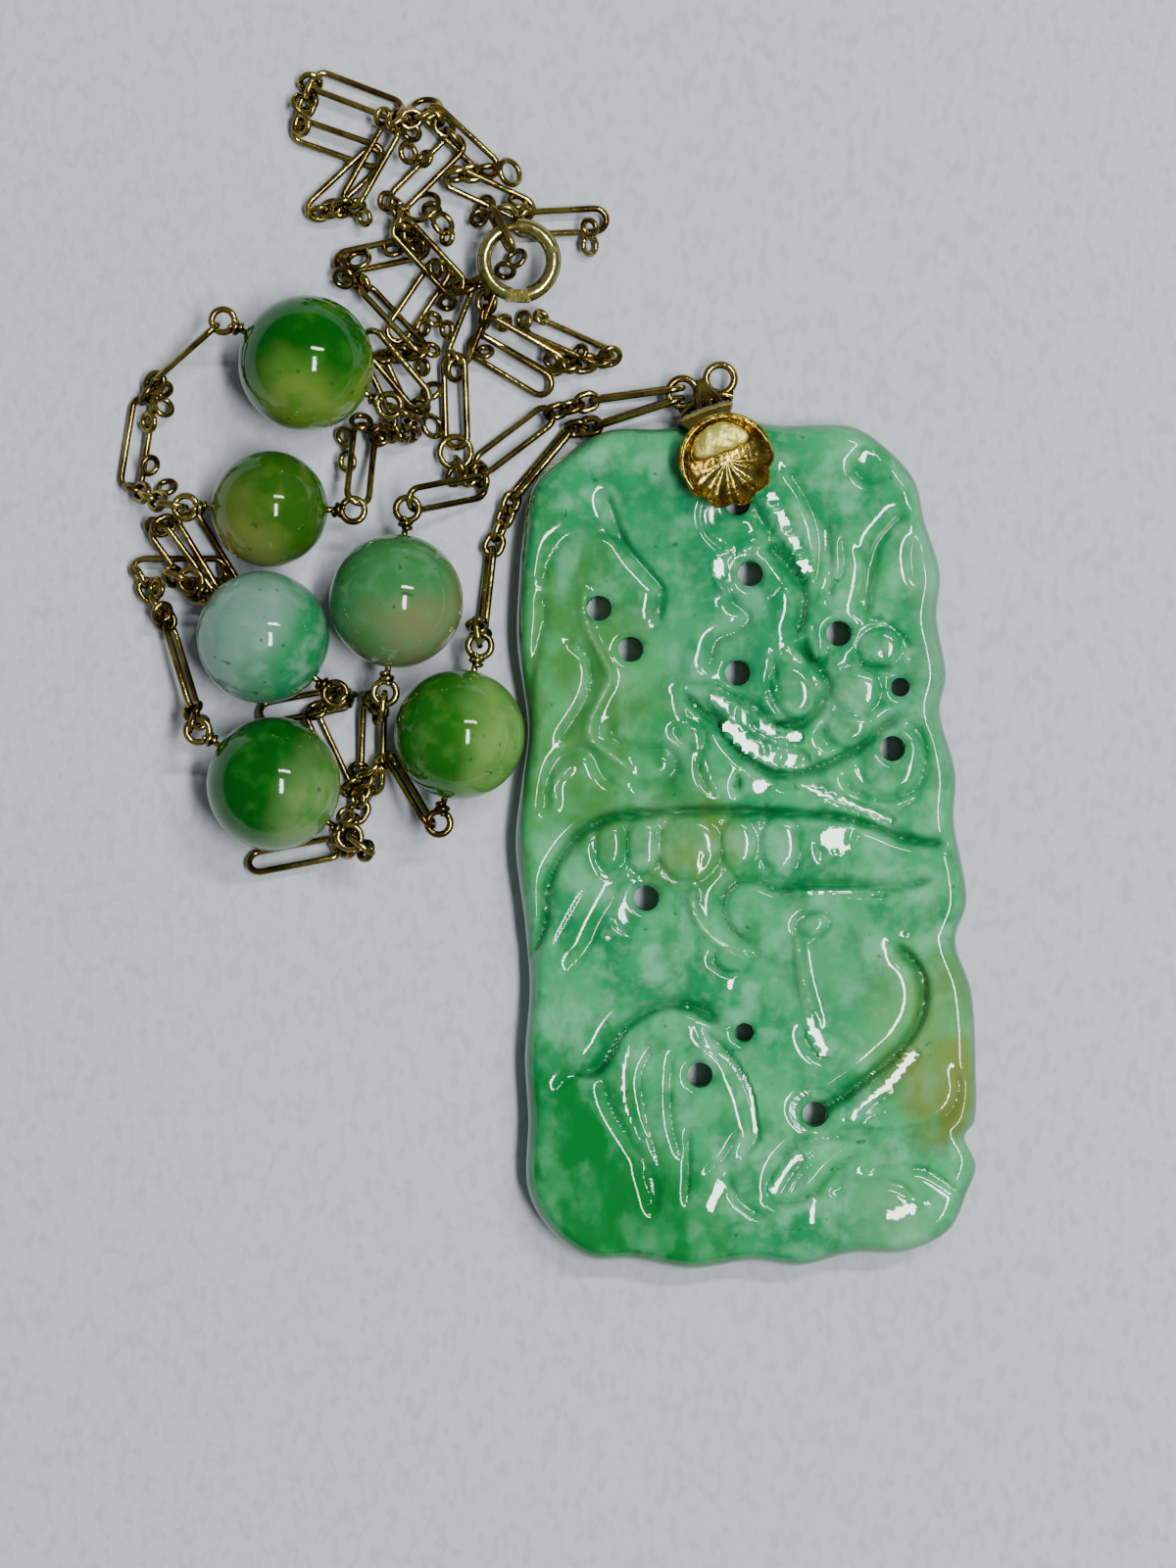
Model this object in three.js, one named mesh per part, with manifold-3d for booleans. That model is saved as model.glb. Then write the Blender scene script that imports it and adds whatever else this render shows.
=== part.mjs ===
// Carved jade pendant plaque on a gold bail, with its paper-clip chain,
// six drilled jade beads on wrapped wire pins and a round spring-ring clasp.
// It lies flat as it would on a table. Millimetres, +X to the right of the
// plaque, +Y to its top, +Z up from the table, origin at the middle of its back.
import * as THREE from "three";
import { mergeVertices } from "three/addons/utils/BufferGeometryUtils.js";
import Module from "manifold-3d";

const wasm = await Module();
wasm.setup();

// Plaque.
const PLAQUE_HEIGHT = 54.2;
const PLAQUE_THICKNESS = 4.2;
const RIM_INSET = 1.5;
const DRILLED_HOLE = 1.6;
const SMALL_DRILLED_HOLE = 1.2;
const CARVING_DEPTH = 1.0;
const CARVING_STEP = 1.4;
const DEEPEST_CUT = 1.6 * CARVING_DEPTH;
const HIGHEST_RISE = 0.6 * CARVING_DEPTH;

// Bail.
const STRAP_WIDTH = 2.6;
const STRAP_THICKNESS = 0.5;
const STRAP_GAP = 0.3;
const BAIL_PIN = 0.9;
const BAIL_TURN = 20;
const BAIL_RING = 2.3;
const BAIL_RING_HEIGHT = 1.9;
const BAIL_RINGS_AT = [-0.8, 1.75];
const YOKE_DEPTH = 1.1;
const YOKE_THICKNESS = 0.7;
const BLOSSOM_WIDTH = 5.9;
const BLOSSOM_HEIGHT = 1.5;
const BLOSSOM_RIBS = 10;

// Chain.
const WIRE = 0.44;
const LONG_LINK_LENGTH = 6.4;
const LONG_LINK_WIDTH = 1.9;
const SMALL_LINK_WIDTH = 1.45;
const SMALL_LINK_REACH = 2.6;
const FREE_LINK_LENGTH = 2.2;
const FREE_LINK_WIDTH = 1.8;
const HEAP_RING = 2.44;
const GROUND = 0.78;
const CORNER_CLEARANCE = 0.55;
const CORNER_CLEARANCE_OUTER = 2.8;

// A faceted wire is a little wider than the round one, so that it fills as much.
const FACETED_WIRE = 0.58 * WIRE;
const WIRE_SIDES = 3;
const LINK_BENDS = 6;

// Beads and their wire pins.
const BEAD_DIAMETERS = [8.6, 7.4, 8.4, 8.5, 8.3, 8.5];
const BEAD_BORE = 1.15;
const BEAD_REST_GAP = 0.3;
const WRAP_LENGTH = 0.8;
const WRAP_DIAMETER = 1.1;
const PIN_LOOP = 1.9;
const BEAD_SIDES = 12;

// Clasp.
const CLASP_DIAMETER = 5.4;
const CLASP_TUBE = 1.0;
const CLASP_HEIGHT = 3.3;
const CLASP_EYE = 1.9;
const THUMB_LEVER = 0.5;
const THUMB_LEVER_HEIGHT = 0.9;

const TURN = Math.PI / 180;

// Edges shorter than this are dropped where two bodies join.
const SHORTEST_EDGE = 0.08;

// Outline, clockwise from the upper left shoulder, with a lobe or a notch at each point.
const OUTLINE = [
  [-11.8, 25.1], [-9.2, 26.6], [-5.4, 26.8], [-0.9, 27.3], [2.2, 27.0], [6.6, 26.9], [8.8, 25.5],
  [10.6, 23.4], [11.2, 20.9], [12.2, 17.5], [12.0, 14.7], [12.6, 10.9], [12.2, 8.8], [13.2, 4.7],
  [13.1, 1.8], [13.9, -3.4], [13.2, -5.9], [14.2, -9.1], [14.5, -14.1], [14.4, -17.5], [13.8, -18.4],
  [14.5, -20.3], [13.9, -22.1], [12.8, -24.4], [10.0, -25.8], [6.6, -25.9], [3.2, -26.7], [0.2, -26.4],
  [-3.8, -26.9], [-7.5, -26.3], [-10.3, -26.2], [-12.8, -24.4], [-14.2, -21.8], [-14.2, -17.2],
  [-14.4, -13.4], [-14.1, -8.8], [-14.4, -4.9], [-15.0, 0.3], [-14.6, 4.1], [-14.2, 7.5],
  [-14.9, 13.1], [-14.8, 16.8], [-14.5, 20.0], [-13.9, 23.1],
];

// The carving is drawn at the size of this outline and follows the real plaque.
const drawnLeft = Math.min(...OUTLINE.map(([x]) => x));
const drawnTop = Math.max(...OUTLINE.map(([, y]) => y));
const drawnHeight = drawnTop - Math.min(...OUTLINE.map(([, y]) => y));
const SCALE = PLAQUE_HEIGHT / drawnHeight;
const CORNER_SHIFT = new THREE.Vector3(drawnLeft * (SCALE - 1), drawnTop * (SCALE - 1), 0);

// Holes drilled through the ground of the carving; the bail hangs in the first.
const BAIL_HOLE = [-0.8, 21.9];
const HOLES = [
  [-9.6, 15.2], [-7.6, 12.6], [0, 17.4], [-0.8, 11.1], [5.6, 13.6], [9.0, 6.3], [-6.6, -3.2],
  [-3.2, -14.4], [4.1, -16.9],
];
const SMALL_HOLES = [[9.5, 10.2], [-0.4, -11.7]];

// Cut lines: depth as a share of the carving depth, the widths of the left and
// the right slope along the way, then the way. A negative depth is a raised line.
const CUT_LINES = [
  // Stem and leaf on the upper left.
  [0.8, 0.6, 0.9, [[-9.2, 22.8], [-7.8, 19.1], [-5.6, 16.4], [-5.9, 14.1]]],
  [0.6, 1.1, 0.6, [[-13.2, 16.4], [-11.7, 19.6], [-8.8, 19.9], [-7.8, 19.1]]],
  [0.5, 0.7, 0.7, [[-13.2, 16.4], [-13.1, 14.7], [-14.0, 10.3]]],
  [-0.5, 0.7, 0.7, [[-10.5, 16.6], [-9.6, 12.5], [-9.5, 9.4], [-10.1, 6.9], [-7.5, 4.9]]],
  [0.8, 0.8, 0.6, [[-11.6, 13.1], [-10.1, 11.1], [-11.4, 7.9], [-12.2, 6.8]]],
  [0.7, 0.7, 0.7, [[-8.6, 5.1], [-5.2, 6.1], [-4.7, 5.1], [-8.1, 3.7]]],
  [0.6, 0.8, 0.8, [[-13.1, 1.9], [-11.9, 5.8], [-10.3, 6.2]]],
  // Leaves that hang below the bail.
  [1.0, 0.7, 1.1, [[0, 22.1], [2.6, 18.4], [3.9, 16.4], [3.2, 15.1], [2.7, 13.1]]],
  [0.8, 1.0, 0.7, [[2.1, 24.1], [4.1, 20.6], [4.1, 16.4]]],
  [0.7, 0.7, 0.9, [[-1.9, 16.1], [-0.1, 14.7], [-2.1, 13.1], [-2.7, 11.0]]],
  [1.0, 0.9, 0.7, [[2.7, 13.1], [4.8, 10.4], [3.1, 7.9], [1.2, 7.9]]],
  [0.5, 0.7, 0.7, [[-4.6, 10.3], [-2.1, 10.2], [1.6, 7.9], [3.6, 7.8]]],
  [1.1, 1.0, 0.7, [[-4.4, 10.0], [-2.0, 7.9], [0, 5.6], [4.1, 5.1], [8.4, 7.7], [9.6, 8.3]]],
  // Rolled leaves and ovals on the right.
  [0.6, 0.7, 0.7, [[4.9, 20.9], [5.1, 16.6]]],
  [0.9, 0.8, 0.8, [[10.0, 21.5], [8.0, 19.1], [7.2, 14.4]]],
  [0.6, 0.7, 0.7, [[6.9, 23.4], [7.8, 23.2], [8.8, 23.6]]],
  [0.8, 0.7, 0.9, [[8.4, 7.7], [10.0, 8.1], [11.1, 5.0], [10.0, 3.3], [6.2, 3.9]]],
  // Branch that runs from edge to edge above the peas, and the line below them.
  [1.1, 0.8, 0.7, [[-14.2, -7.5], [-12.9, -2.6], [-9.2, 1.8], [-1.9, 2.4], [5.2, 2.0], [12.5, 0.2]]],
  [1.1, 0.7, 0.9, [[11.6, -1.9], [6.7, -2.4], [0.3, -2.1], [-1.7, -3.1], [-1.1, -5.2], [0, -6.1]]],
  [-0.5, 0.7, 0.7, [[-3.7, -2.3], [-3.1, -4.9], [-0.6, -6.6]]],
  [0.6, 0.7, 0.9, [[-8.1, -2.1], [-9.6, -5.0], [-11.4, -7.6]]],
  [-0.6, 0.7, 0.7, [[2.8, -5.6], [3.7, -9.9], [5.3, -13.4]]],
  // Fan leaf on the lower right.
  [1.3, 0.7, 1.2, [[9.2, -6.1], [11.0, -8.6], [9.8, -12.5], [4.2, -16.9]]],
  [0.5, 0.6, 0.6, [[5.7, -17.2], [10.2, -12.4]]],
  [0.5, 0.6, 0.6, [[5.7, -17.2], [9.4, -16.1]]],
  [0.9, 0.9, 0.7, [[5.8, -18.0], [8.6, -18.4], [12.9, -16.6], [13.7, -14.6]]],
  [0.7, 0.7, 0.9, [[8.4, -18.6], [2.9, -18.9], [1.2, -22.8], [4.6, -20.9], [6.8, -19.2]]],
  [0.5, 0.7, 0.7, [[4.9, -21.7], [9.4, -21.3], [13.1, -21.7]]],
  // Folded leaf on the lower left.
  [1.1, 1.2, 0.7, [[-10.9, -15.9], [-7.5, -11.1], [-3.8, -10.2], [-1.9, -11.2]]],
  [1.0, 0.9, 0.9, [[-3.1, -11.4], [-0.4, -14.6], [0.2, -19.1], [-4.1, -24.4]]],
  [0.6, 0.6, 0.6, [[-6.0, -12.5], [-6.6, -16.9], [-5.4, -21.2]]],
  [0.6, 0.6, 0.6, [[-4.9, -12.8], [-4.7, -17.8], [-4.1, -22.6]]],
  [-0.5, 0.7, 0.7, [[-7.7, -12.1], [-7.9, -16.1], [-6.3, -19.7]]],
  [0.5, 0.7, 0.7, [[-9.2, -14.6], [-12.5, -15.4]]],
  [0.5, 0.7, 0.7, [[-1.4, -20.7], [-0.9, -22.1], [1.2, -23.5]]],
];

// Rounded forms: place, half width, half height, turn and rise. A negative rise is a dish.
const ROUND_FORMS = [
  [-8.9, 0.2, 0.9, 1.7, 0, 0.5],
  [-6.8, 0.2, 1.1, 1.8, 0, 0.5],
  [-3.9, 0.0, 1.9, 2.1, 0, 0.6],
  [-0.8, 0.2, 1.1, 1.8, 0, 0.5],
  [1.9, 0.2, 1.1, 1.9, 0, 0.5],
  [5.6, 0.5, 1.6, 1.2, 0, 0.3],
  [2.7, 10.3, 1.3, 2.0, 20, 0.6],
  [8.2, 12.7, 1.4, 1.2, 20, 0.6],
  [6.9, 10.2, 1.4, 1.6, 10, 0.5],
  [6.3, 7.7, 1.5, 1.4, 0, 0.5],
  [9.0, 6.0, 1.7, 1.8, 0, 0.3],
  [7.8, 24.4, 0.8, 0.9, 0, -0.8],
  [-0.8, 21.9, 2.1, 1.8, 0, -0.5],
  [-6.9, -3.9, 1.8, 1.9, 0, -0.8],
  [-1.2, -7.1, 1.2, 0.9, 0, 0.4],
  [4.0, -4.9, 1.2, 0.9, 20, 0.5],
  [-9.5, 20.5, 3.0, 2.5, 0, 0.3],
  [-10.8, 17.5, 1.8, 2.0, 0, 0.3],
  [10.5, -13.5, 2.5, 3.0, 0, 0.3],
  [-5.6, -14.5, 1.6, 3.0, 0, 0.4],
  [-11.6, -4.0, 1.5, 3.5, 0, 0.3],
];

// Long links: middle, heading, roll about its length, height of the first and the last end.
// Everything the plaque's corner carries is placed from that corner.
const STRAND_LINKS = {
  besideCorner: [-14.8, 25.8, -143, 25, 1.35, GROUND],
  roundCorner: [-13.2, 24.5, -130, 72, 0.95, 0.95],
  aboveBead5: [-16.8, 16.2, -96, 75, 0.95, 1.6],
  belowBead3: [-26.9, 6.1, 115, 60, 0.9, 0.9],
  betweenBeads: [-28.4, 9.1, -169, 25, GROUND, GROUND],
  belowBead4: [-24.1, 6.4, -92, 20, 1.6, GROUND],
  belowBead6: [-29.1, -0.5, -169, 30, GROUND, GROUND],
  besideBead6: [-36.3, 11.6, 108, 75, 2.2, 0.95],
  crossedLow: [-36.5, 17.8, 0, 20, GROUND, GROUND],
  crossedMiddle: [-34.6, 18.9, 121, 25, 0.9, 1.5],
  crossedTop: [-36.2, 18.1, -54, 35, 1.9, 1.5],
  besideBead2: [-39.2, 25.9, -99, 20, GROUND, GROUND],
};

const HEAP_LINKS = {
  lowerOuter: [-22.8, 28.8, 115, 35, GROUND, 1.1],
  bronze: [-22.7, 33.8, 133, 60, 1.7, 1.2],
  leftLow: [-23.5, 38.0, 12, 25, GROUND, GROUND],
  crossing: [-20.5, 37.7, -47, 10, 2.0, 2.0],
  upright: [-17.7, 33.7, -112, 10, 2.1, 1.2],
  drop: [-18.8, 28.6, -88, 20, 1.2, GROUND],
  topLean: [-24.2, 43.6, -120, 30, 1.8, 1.3],
  topLoose: [-25.9, 42.5, 43, 20, GROUND, GROUND],
  topOuter: [-25.1, 48.2, 159, 25, GROUND, GROUND],
  topInner: [-26.3, 45.1, -19, 25, GROUND, GROUND],
  ridge: [-18.4, 45.2, -43, 35, 1.2, 1.2],
  behindRidge: [-20.6, 43.3, -135, 15, GROUND, GROUND],
  claspLeft: [-16.6, 41.8, -24, 20, 1.6, 0.9],
  claspRight: [-12.1, 40.1, 3, 15, GROUND, GROUND],
  rightUpper: [-14.5, 32.1, -29, 30, 1.5, 0.8],
  rightLong: [-11.5, 32.4, 156, 30, GROUND, GROUND],
};

function solid(geometry) {
  const bare = geometry.index ? geometry : geometry.clone();
  bare.deleteAttribute("normal");
  bare.deleteAttribute("uv");
  const merged = mergeVertices(bare, 1e-5);
  const mesh = new wasm.Mesh({
    numProp: 3,
    vertProperties: new Float32Array(merged.attributes.position.array),
    triVerts: new Uint32Array(merged.index.array),
    tolerance: SHORTEST_EDGE,
  });
  return new wasm.Manifold(mesh);
}

function geometryOf(body) {
  const mesh = withoutPockets(body).getMesh();
  const geometry = new THREE.BufferGeometry();
  geometry.setAttribute("position", new THREE.BufferAttribute(mesh.vertProperties, 3));
  geometry.setIndex(new THREE.BufferAttribute(mesh.triVerts, 1));
  geometry.computeVertexNormals();
  return geometry;
}

function joined(bodies) {
  return bodies.reduce((all, next) => all.add(next));
}

// Wires that touch all round a tiny pocket close it; the pocket is filled.
function withoutPockets(body) {
  return joined(body.decompose().filter((part) => part.volume() > 0));
}

function curveThrough(points, closed, count) {
  const places = points.map(([x, y]) => new THREE.Vector3(x * SCALE, y * SCALE, 0));
  const curve = new THREE.CatmullRomCurve3(places, closed, "centripetal");
  const way = curve.getSpacedPoints(count);
  return closed ? way.slice(0, count) : way;
}

function gauss(distance, width) {
  return Math.exp(-((distance / width) ** 2));
}

// A shell of stacked rings with the same number of points, closed by fans.
function stackedRings(rings) {
  const count = rings[0].length;
  const vertices = rings.flat().flatMap((point) => [point.x, point.y, point.z]);
  const faces = [];
  for (let ring = 0; ring < rings.length - 1; ring += 1) {
    for (let i = 0; i < count; i += 1) {
      const a = ring * count + i;
      const b = ring * count + ((i + 1) % count);
      faces.push(a, b, b + count, a, b + count, a + count);
    }
  }
  const ends = [rings[0], rings[rings.length - 1]];
  ends.forEach((ring, end) => {
    const middle = ring.reduce((sum, point) => sum.add(point), new THREE.Vector3()).divideScalar(count);
    vertices.push(middle.x, middle.y, middle.z);
    const centre = rings.length * count + end;
    const start = end ? (rings.length - 1) * count : 0;
    for (let i = 0; i < count; i += 1) {
      const a = start + i;
      const b = start + ((i + 1) % count);
      faces.push(...(end ? [a, b, centre] : [b, a, centre]));
    }
  });
  const geometry = new THREE.BufferGeometry();
  geometry.setAttribute("position", new THREE.Float32BufferAttribute(vertices, 3));
  geometry.setIndex(faces);
  return geometry;
}

// Moves an outline point inwards, straight at the plaque's upright middle line.
function inset(point, amount, z) {
  const reach = 13 * SCALE;
  const spine = new THREE.Vector3(0, THREE.MathUtils.clamp(point.y, -reach, reach), 0);
  const inward = spine.sub(point).setLength(amount);
  return new THREE.Vector3(point.x + inward.x, point.y + inward.y, z);
}

const cutWays = CUT_LINES.map(([depth, left, right, points]) => ({
  depth: depth * CARVING_DEPTH,
  left,
  right,
  way: curveThrough(points, false, 6 * points.length),
}));

function cutDepth({ depth, left, right, way }, x, y) {
  let best = { distance: Infinity, side: 1 };
  for (let i = 0; i < way.length - 1; i += 1) {
    const ax = way[i].x;
    const ay = way[i].y;
    const dx = way[i + 1].x - ax;
    const dy = way[i + 1].y - ay;
    const along = ((x - ax) * dx + (y - ay) * dy) / (dx * dx + dy * dy);
    const share = THREE.MathUtils.clamp(along, 0, 1);
    const distance = Math.hypot(x - ax - share * dx, y - ay - share * dy);
    if (distance < best.distance) best = { distance, side: dx * (y - ay) - dy * (x - ax) };
  }
  return depth * gauss(best.distance, best.side > 0 ? left : right);
}

function roundRise([cx, cy, halfWidth, halfHeight, turn, rise], x, y) {
  const dx = x - cx * SCALE;
  const dy = y - cy * SCALE;
  const u = (dx * Math.cos(turn * TURN) + dy * Math.sin(turn * TURN)) / halfWidth;
  const v = (dy * Math.cos(turn * TURN) - dx * Math.sin(turn * TURN)) / halfHeight;
  return rise * CARVING_DEPTH * Math.exp(-((u * u + v * v) ** 1.5));
}

function carvedHeight(x, y) {
  const cut = cutWays.reduce((sum, line) => sum + cutDepth(line, x, y), 0);
  const rise = ROUND_FORMS.reduce((sum, form) => sum + roundRise(form, x, y), 0);
  const change = THREE.MathUtils.clamp(rise - cut, -DEEPEST_CUT, HIGHEST_RISE);
  return PLAQUE_THICKNESS + change;
}

// The carved face as a block that reaches below the plaque, to be cut by its outline.
function carvedBlock() {
  const halfWidth = 16 * SCALE;
  const halfHeight = 28.5 * SCALE;
  const columns = Math.round((2 * halfWidth) / CARVING_STEP);
  const rows = Math.round((2 * halfHeight) / CARVING_STEP);
  const block = new THREE.BoxGeometry(2 * halfWidth, 2 * halfHeight, 1, columns, rows, 1);
  const places = block.attributes.position;
  for (let i = 0; i < places.count; i += 1) {
    const above = places.getZ(i) > 0;
    places.setZ(i, above ? carvedHeight(places.getX(i), places.getY(i)) : -1);
  }
  return solid(block);
}

function drill(x, y, diameter, sides) {
  const bit = new THREE.CylinderGeometry(diameter / 2, diameter / 2, 4 * PLAQUE_THICKNESS, sides);
  return solid(bit.rotateX(Math.PI / 2).translate(x * SCALE, y * SCALE, 0));
}

function plaque() {
  const edge = curveThrough(OUTLINE, true, 64).reverse();
  const t = PLAQUE_THICKNESS;
  const rim = [[RIM_INSET, 0], [RIM_INSET * 0.25, t * 0.18], [0, t * 0.5],
    [RIM_INSET * 0.3, t * 0.85], [RIM_INSET * 1.25, t + HIGHEST_RISE]];
  const form = solid(stackedRings(rim.map(([amount, z]) => edge.map((point) => inset(point, amount, z)))));
  const drills = [
    drill(...BAIL_HOLE, DRILLED_HOLE, 10),
    ...HOLES.map(([x, y]) => drill(x, y, DRILLED_HOLE, 8)),
    ...SMALL_HOLES.map(([x, y]) => drill(x, y, SMALL_DRILLED_HOLE, 8)),
  ];
  const [holeX, holeY] = BAIL_HOLE;
  const channelWidth = STRAP_WIDTH + 2 * STRAP_GAP;
  const channelDepth = STRAP_THICKNESS + 2 * STRAP_GAP;
  const channel = new THREE.BoxGeometry(channelWidth, 12 * SCALE, 2 * channelDepth);
  channel.translate(0, 6 * SCALE - channelWidth / 2, 0).rotateZ(BAIL_TURN * TURN);
  channel.translate(holeX * SCALE, holeY * SCALE, 0);
  return carvedBlock().intersect(form).subtract(joined(drills)).subtract(solid(channel));
}

// A ring of wire pulled out lengthwise until its two ends are at the given points.
function wireLoop(start, end, width, roll) {
  const middle = start.clone().add(end).multiplyScalar(0.5);
  const heading = end.clone().sub(start);
  const halfLength = heading.length() / 2;
  const radius = (width - WIRE) / 2 / Math.cos(Math.PI / LINK_BENDS);
  const loop = new THREE.TorusGeometry(radius, -FACETED_WIRE, WIRE_SIDES, LINK_BENDS);
  const pull = halfLength - radius;
  const places = loop.attributes.position;
  for (let i = 0; i < places.count; i += 1) {
    places.setX(i, places.getX(i) + Math.sign(places.getX(i)) * pull);
  }
  const side = new THREE.Vector3(-heading.y, heading.x, 0).normalize();
  const lengthwise = heading.normalize();
  const up = lengthwise.clone().cross(side);
  const turned = side.clone().applyAxisAngle(lengthwise, roll * TURN);
  const normal = up.applyAxisAngle(lengthwise, roll * TURN);
  const frame = new THREE.Matrix4().makeBasis(lengthwise, turned, normal).setPosition(middle);
  return solid(loop.applyMatrix4(frame));
}

// Round wire rings, standing for the small rings on the bail and in the heap.
function wireRing(diameter, centre) {
  const ring = new THREE.TorusGeometry((diameter - WIRE) / 2, -FACETED_WIRE, 4, 10);
  return solid(ring.translate(centre.x, centre.y, centre.z));
}

// Two links bear on each other with their wires this far apart, just pressed together.
const CONTACT = 0.9 * WIRE;

// A long link given by its middle, heading, roll and the heights of its two ends.
function longLink([x, y, heading, roll, first, last]) {
  const length = LONG_LINK_LENGTH - WIRE;
  const reach = Math.sqrt(length ** 2 - (last - first) ** 2) / 2;
  const along = new THREE.Vector3(Math.cos(heading * TURN), Math.sin(heading * TURN), 0);
  const start = new THREE.Vector3(x, y, first).addScaledVector(along, -reach);
  const end = new THREE.Vector3(x, y, last).addScaledVector(along, reach);
  return { start, end, roll };
}

// A long link moved straight away from the plaque's edge until its middle is clear of it.
function besidePlaque([x, y, ...rest], clearance) {
  const point = new THREE.Vector3(x, y, 0).add(CORNER_SHIFT);
  const edge = curveThrough(OUTLINE, true, 400);
  const nearest = edge.reduce((a, b) => (a.distanceTo(point) < b.distanceTo(point) ? a : b));
  const place = point.sub(nearest).setLength(clearance).add(nearest).sub(CORNER_SHIFT);
  return longLink([place.x, place.y, ...rest]);
}

// A long link whose first end is held at a point.
function longLinkFrom(point, heading, roll, last) {
  const reach = Math.sqrt((LONG_LINK_LENGTH - WIRE) ** 2 - (last - point.z) ** 2) / 2;
  const middleX = point.x + reach * Math.cos(heading * TURN);
  const middleY = point.y + reach * Math.sin(heading * TURN);
  return longLink([middleX, middleY, heading, roll, point.z, last]);
}

function longLinkBody({ start, end, roll }) {
  return wireLoop(start, end, LONG_LINK_WIDTH, roll);
}

// Where the next link bears on one end of a link, and how this link is rolled there.
function bearing(link, atEnd) {
  const [from, to] = atEnd ? [link.start, link.end] : [link.end, link.start];
  const inward = from.clone().sub(to).setLength(CONTACT / 2);
  return { point: to.clone().add(inward), roll: atEnd ? link.roll : -link.roll };
}

// Small links from one bearing to another, as few as reach and fitted to the run.
// Each is rolled on by an equal step, so that neighbours cross and bear at one place.
function smallLinks(from, to) {
  const chord = to.point.clone().sub(from.point);
  const count = Math.max(1, Math.ceil(chord.length() / SMALL_LINK_REACH));
  const step = chord.divideScalar(count);
  const overlap = Math.max(CONTACT, SMALL_LINK_WIDTH - WIRE - step.length());
  const half = step.clone().setLength((step.length() + overlap) / 2);
  const rollStep = (180 - to.roll - from.roll) / (count + 1);
  const links = [];
  for (let i = 0; i < count; i += 1) {
    const middle = from.point.clone().addScaledVector(step, i + 0.5);
    const roll = from.roll + (i + 1) * rollStep;
    links.push(wireLoop(middle.clone().sub(half), middle.add(half), SMALL_LINK_WIDTH, roll));
  }
  return links;
}

// A small link that hangs freely in a ring, from the ring's centre outwards.
function freeLink(centre, heading, roll) {
  const along = new THREE.Vector3(Math.cos(heading * TURN), Math.sin(heading * TURN), 0);
  const end = centre.clone().addScaledVector(along, FREE_LINK_LENGTH - WIRE);
  return { body: wireLoop(centre, end, FREE_LINK_WIDTH, roll), start: centre, end, roll };
}

// Beads lie against each other in a loose row; each is placed from its neighbour.
const beadRadius = BEAD_DIAMETERS.map((diameter) => diameter / 2);
const beadPlaces = [];

function besideBead(index, neighbour, heading, clearance) {
  const rise = beadRadius[index] - beadRadius[neighbour];
  const apart = beadRadius[index] + beadRadius[neighbour] + clearance;
  const reach = Math.sqrt(apart ** 2 - rise ** 2);
  const { x, y } = beadPlaces[neighbour];
  const placeX = x + reach * Math.cos(heading * TURN);
  const placeY = y + reach * Math.sin(heading * TURN);
  beadPlaces[index] = new THREE.Vector3(placeX, placeY, beadRadius[index]);
}

const PLAQUE_LEFT_AT_BEAD = -14.3;
beadPlaces[4] = new THREE.Vector3(PLAQUE_LEFT_AT_BEAD - beadRadius[4], 7.2, beadRadius[4]);
besideBead(3, 4, 115.3, 0.95);
besideBead(2, 3, 195.3, BEAD_REST_GAP);
besideBead(1, 2, 87.4, BEAD_REST_GAP);
besideBead(0, 1, 75.5, 1.5);
besideBead(5, 2, -85.8, 0.85);

const PIN_HEADINGS = [153, 179, 142, 83, 77, 145];

// The centre of a pin's wire loop, on the first or the second side of its bead.
function pinLoop(index, second) {
  const heading = (PIN_HEADINGS[index] + (second ? 180 : 0)) * TURN;
  const reach = beadRadius[index] + BEAD_REST_GAP + WRAP_LENGTH + (PIN_LOOP - WIRE) / 2 - WIRE / 2;
  const along = new THREE.Vector3(Math.cos(heading), Math.sin(heading), 0);
  return beadPlaces[index].clone().addScaledVector(along, reach);
}

// Where a link bears on the outer end of a pin's flat loop, going off in a heading.
function pinBearing(index, second, heading) {
  const along = new THREE.Vector3(Math.cos(heading * TURN), Math.sin(heading * TURN), 0);
  const reach = (PIN_LOOP - WIRE) / 2 - CONTACT / 2;
  return { point: pinLoop(index, second).addScaledVector(along, reach), roll: 0 };
}

// A straight wire through the bead, wrapped on itself at both ends and closed by a flat loop.
function pin(index) {
  const wrapEnd = beadRadius[index] + BEAD_REST_GAP + WRAP_LENGTH;
  const wrapStart = beadRadius[index] + BEAD_REST_GAP;
  const wrap = WRAP_DIAMETER / 2;
  const half = [[0, wrapEnd], [wrap, wrapEnd], [wrap, wrapStart], [WIRE / 2, wrapStart]];
  const whole = [...half.map(([r, y]) => [r, -y]), ...half.reverse()];
  const profile = whole.map(([r, y]) => new THREE.Vector2(r, y));
  const parts = [solid(new THREE.LatheGeometry(profile, 5).rotateZ(-Math.PI / 2))];
  for (const side of [-1, 1]) {
    const near = new THREE.Vector3(side * (wrapEnd - WIRE / 2), 0, 0);
    const far = new THREE.Vector3(side * (wrapEnd - WIRE / 2 + PIN_LOOP - WIRE), 0, 0);
    parts.push(wireLoop(near, far, PIN_LOOP, 0));
  }
  const { x, y, z } = beadPlaces[index];
  return joined(parts).rotate([0, 0, PIN_HEADINGS[index]]).translate([x, y, z]);
}

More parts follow.
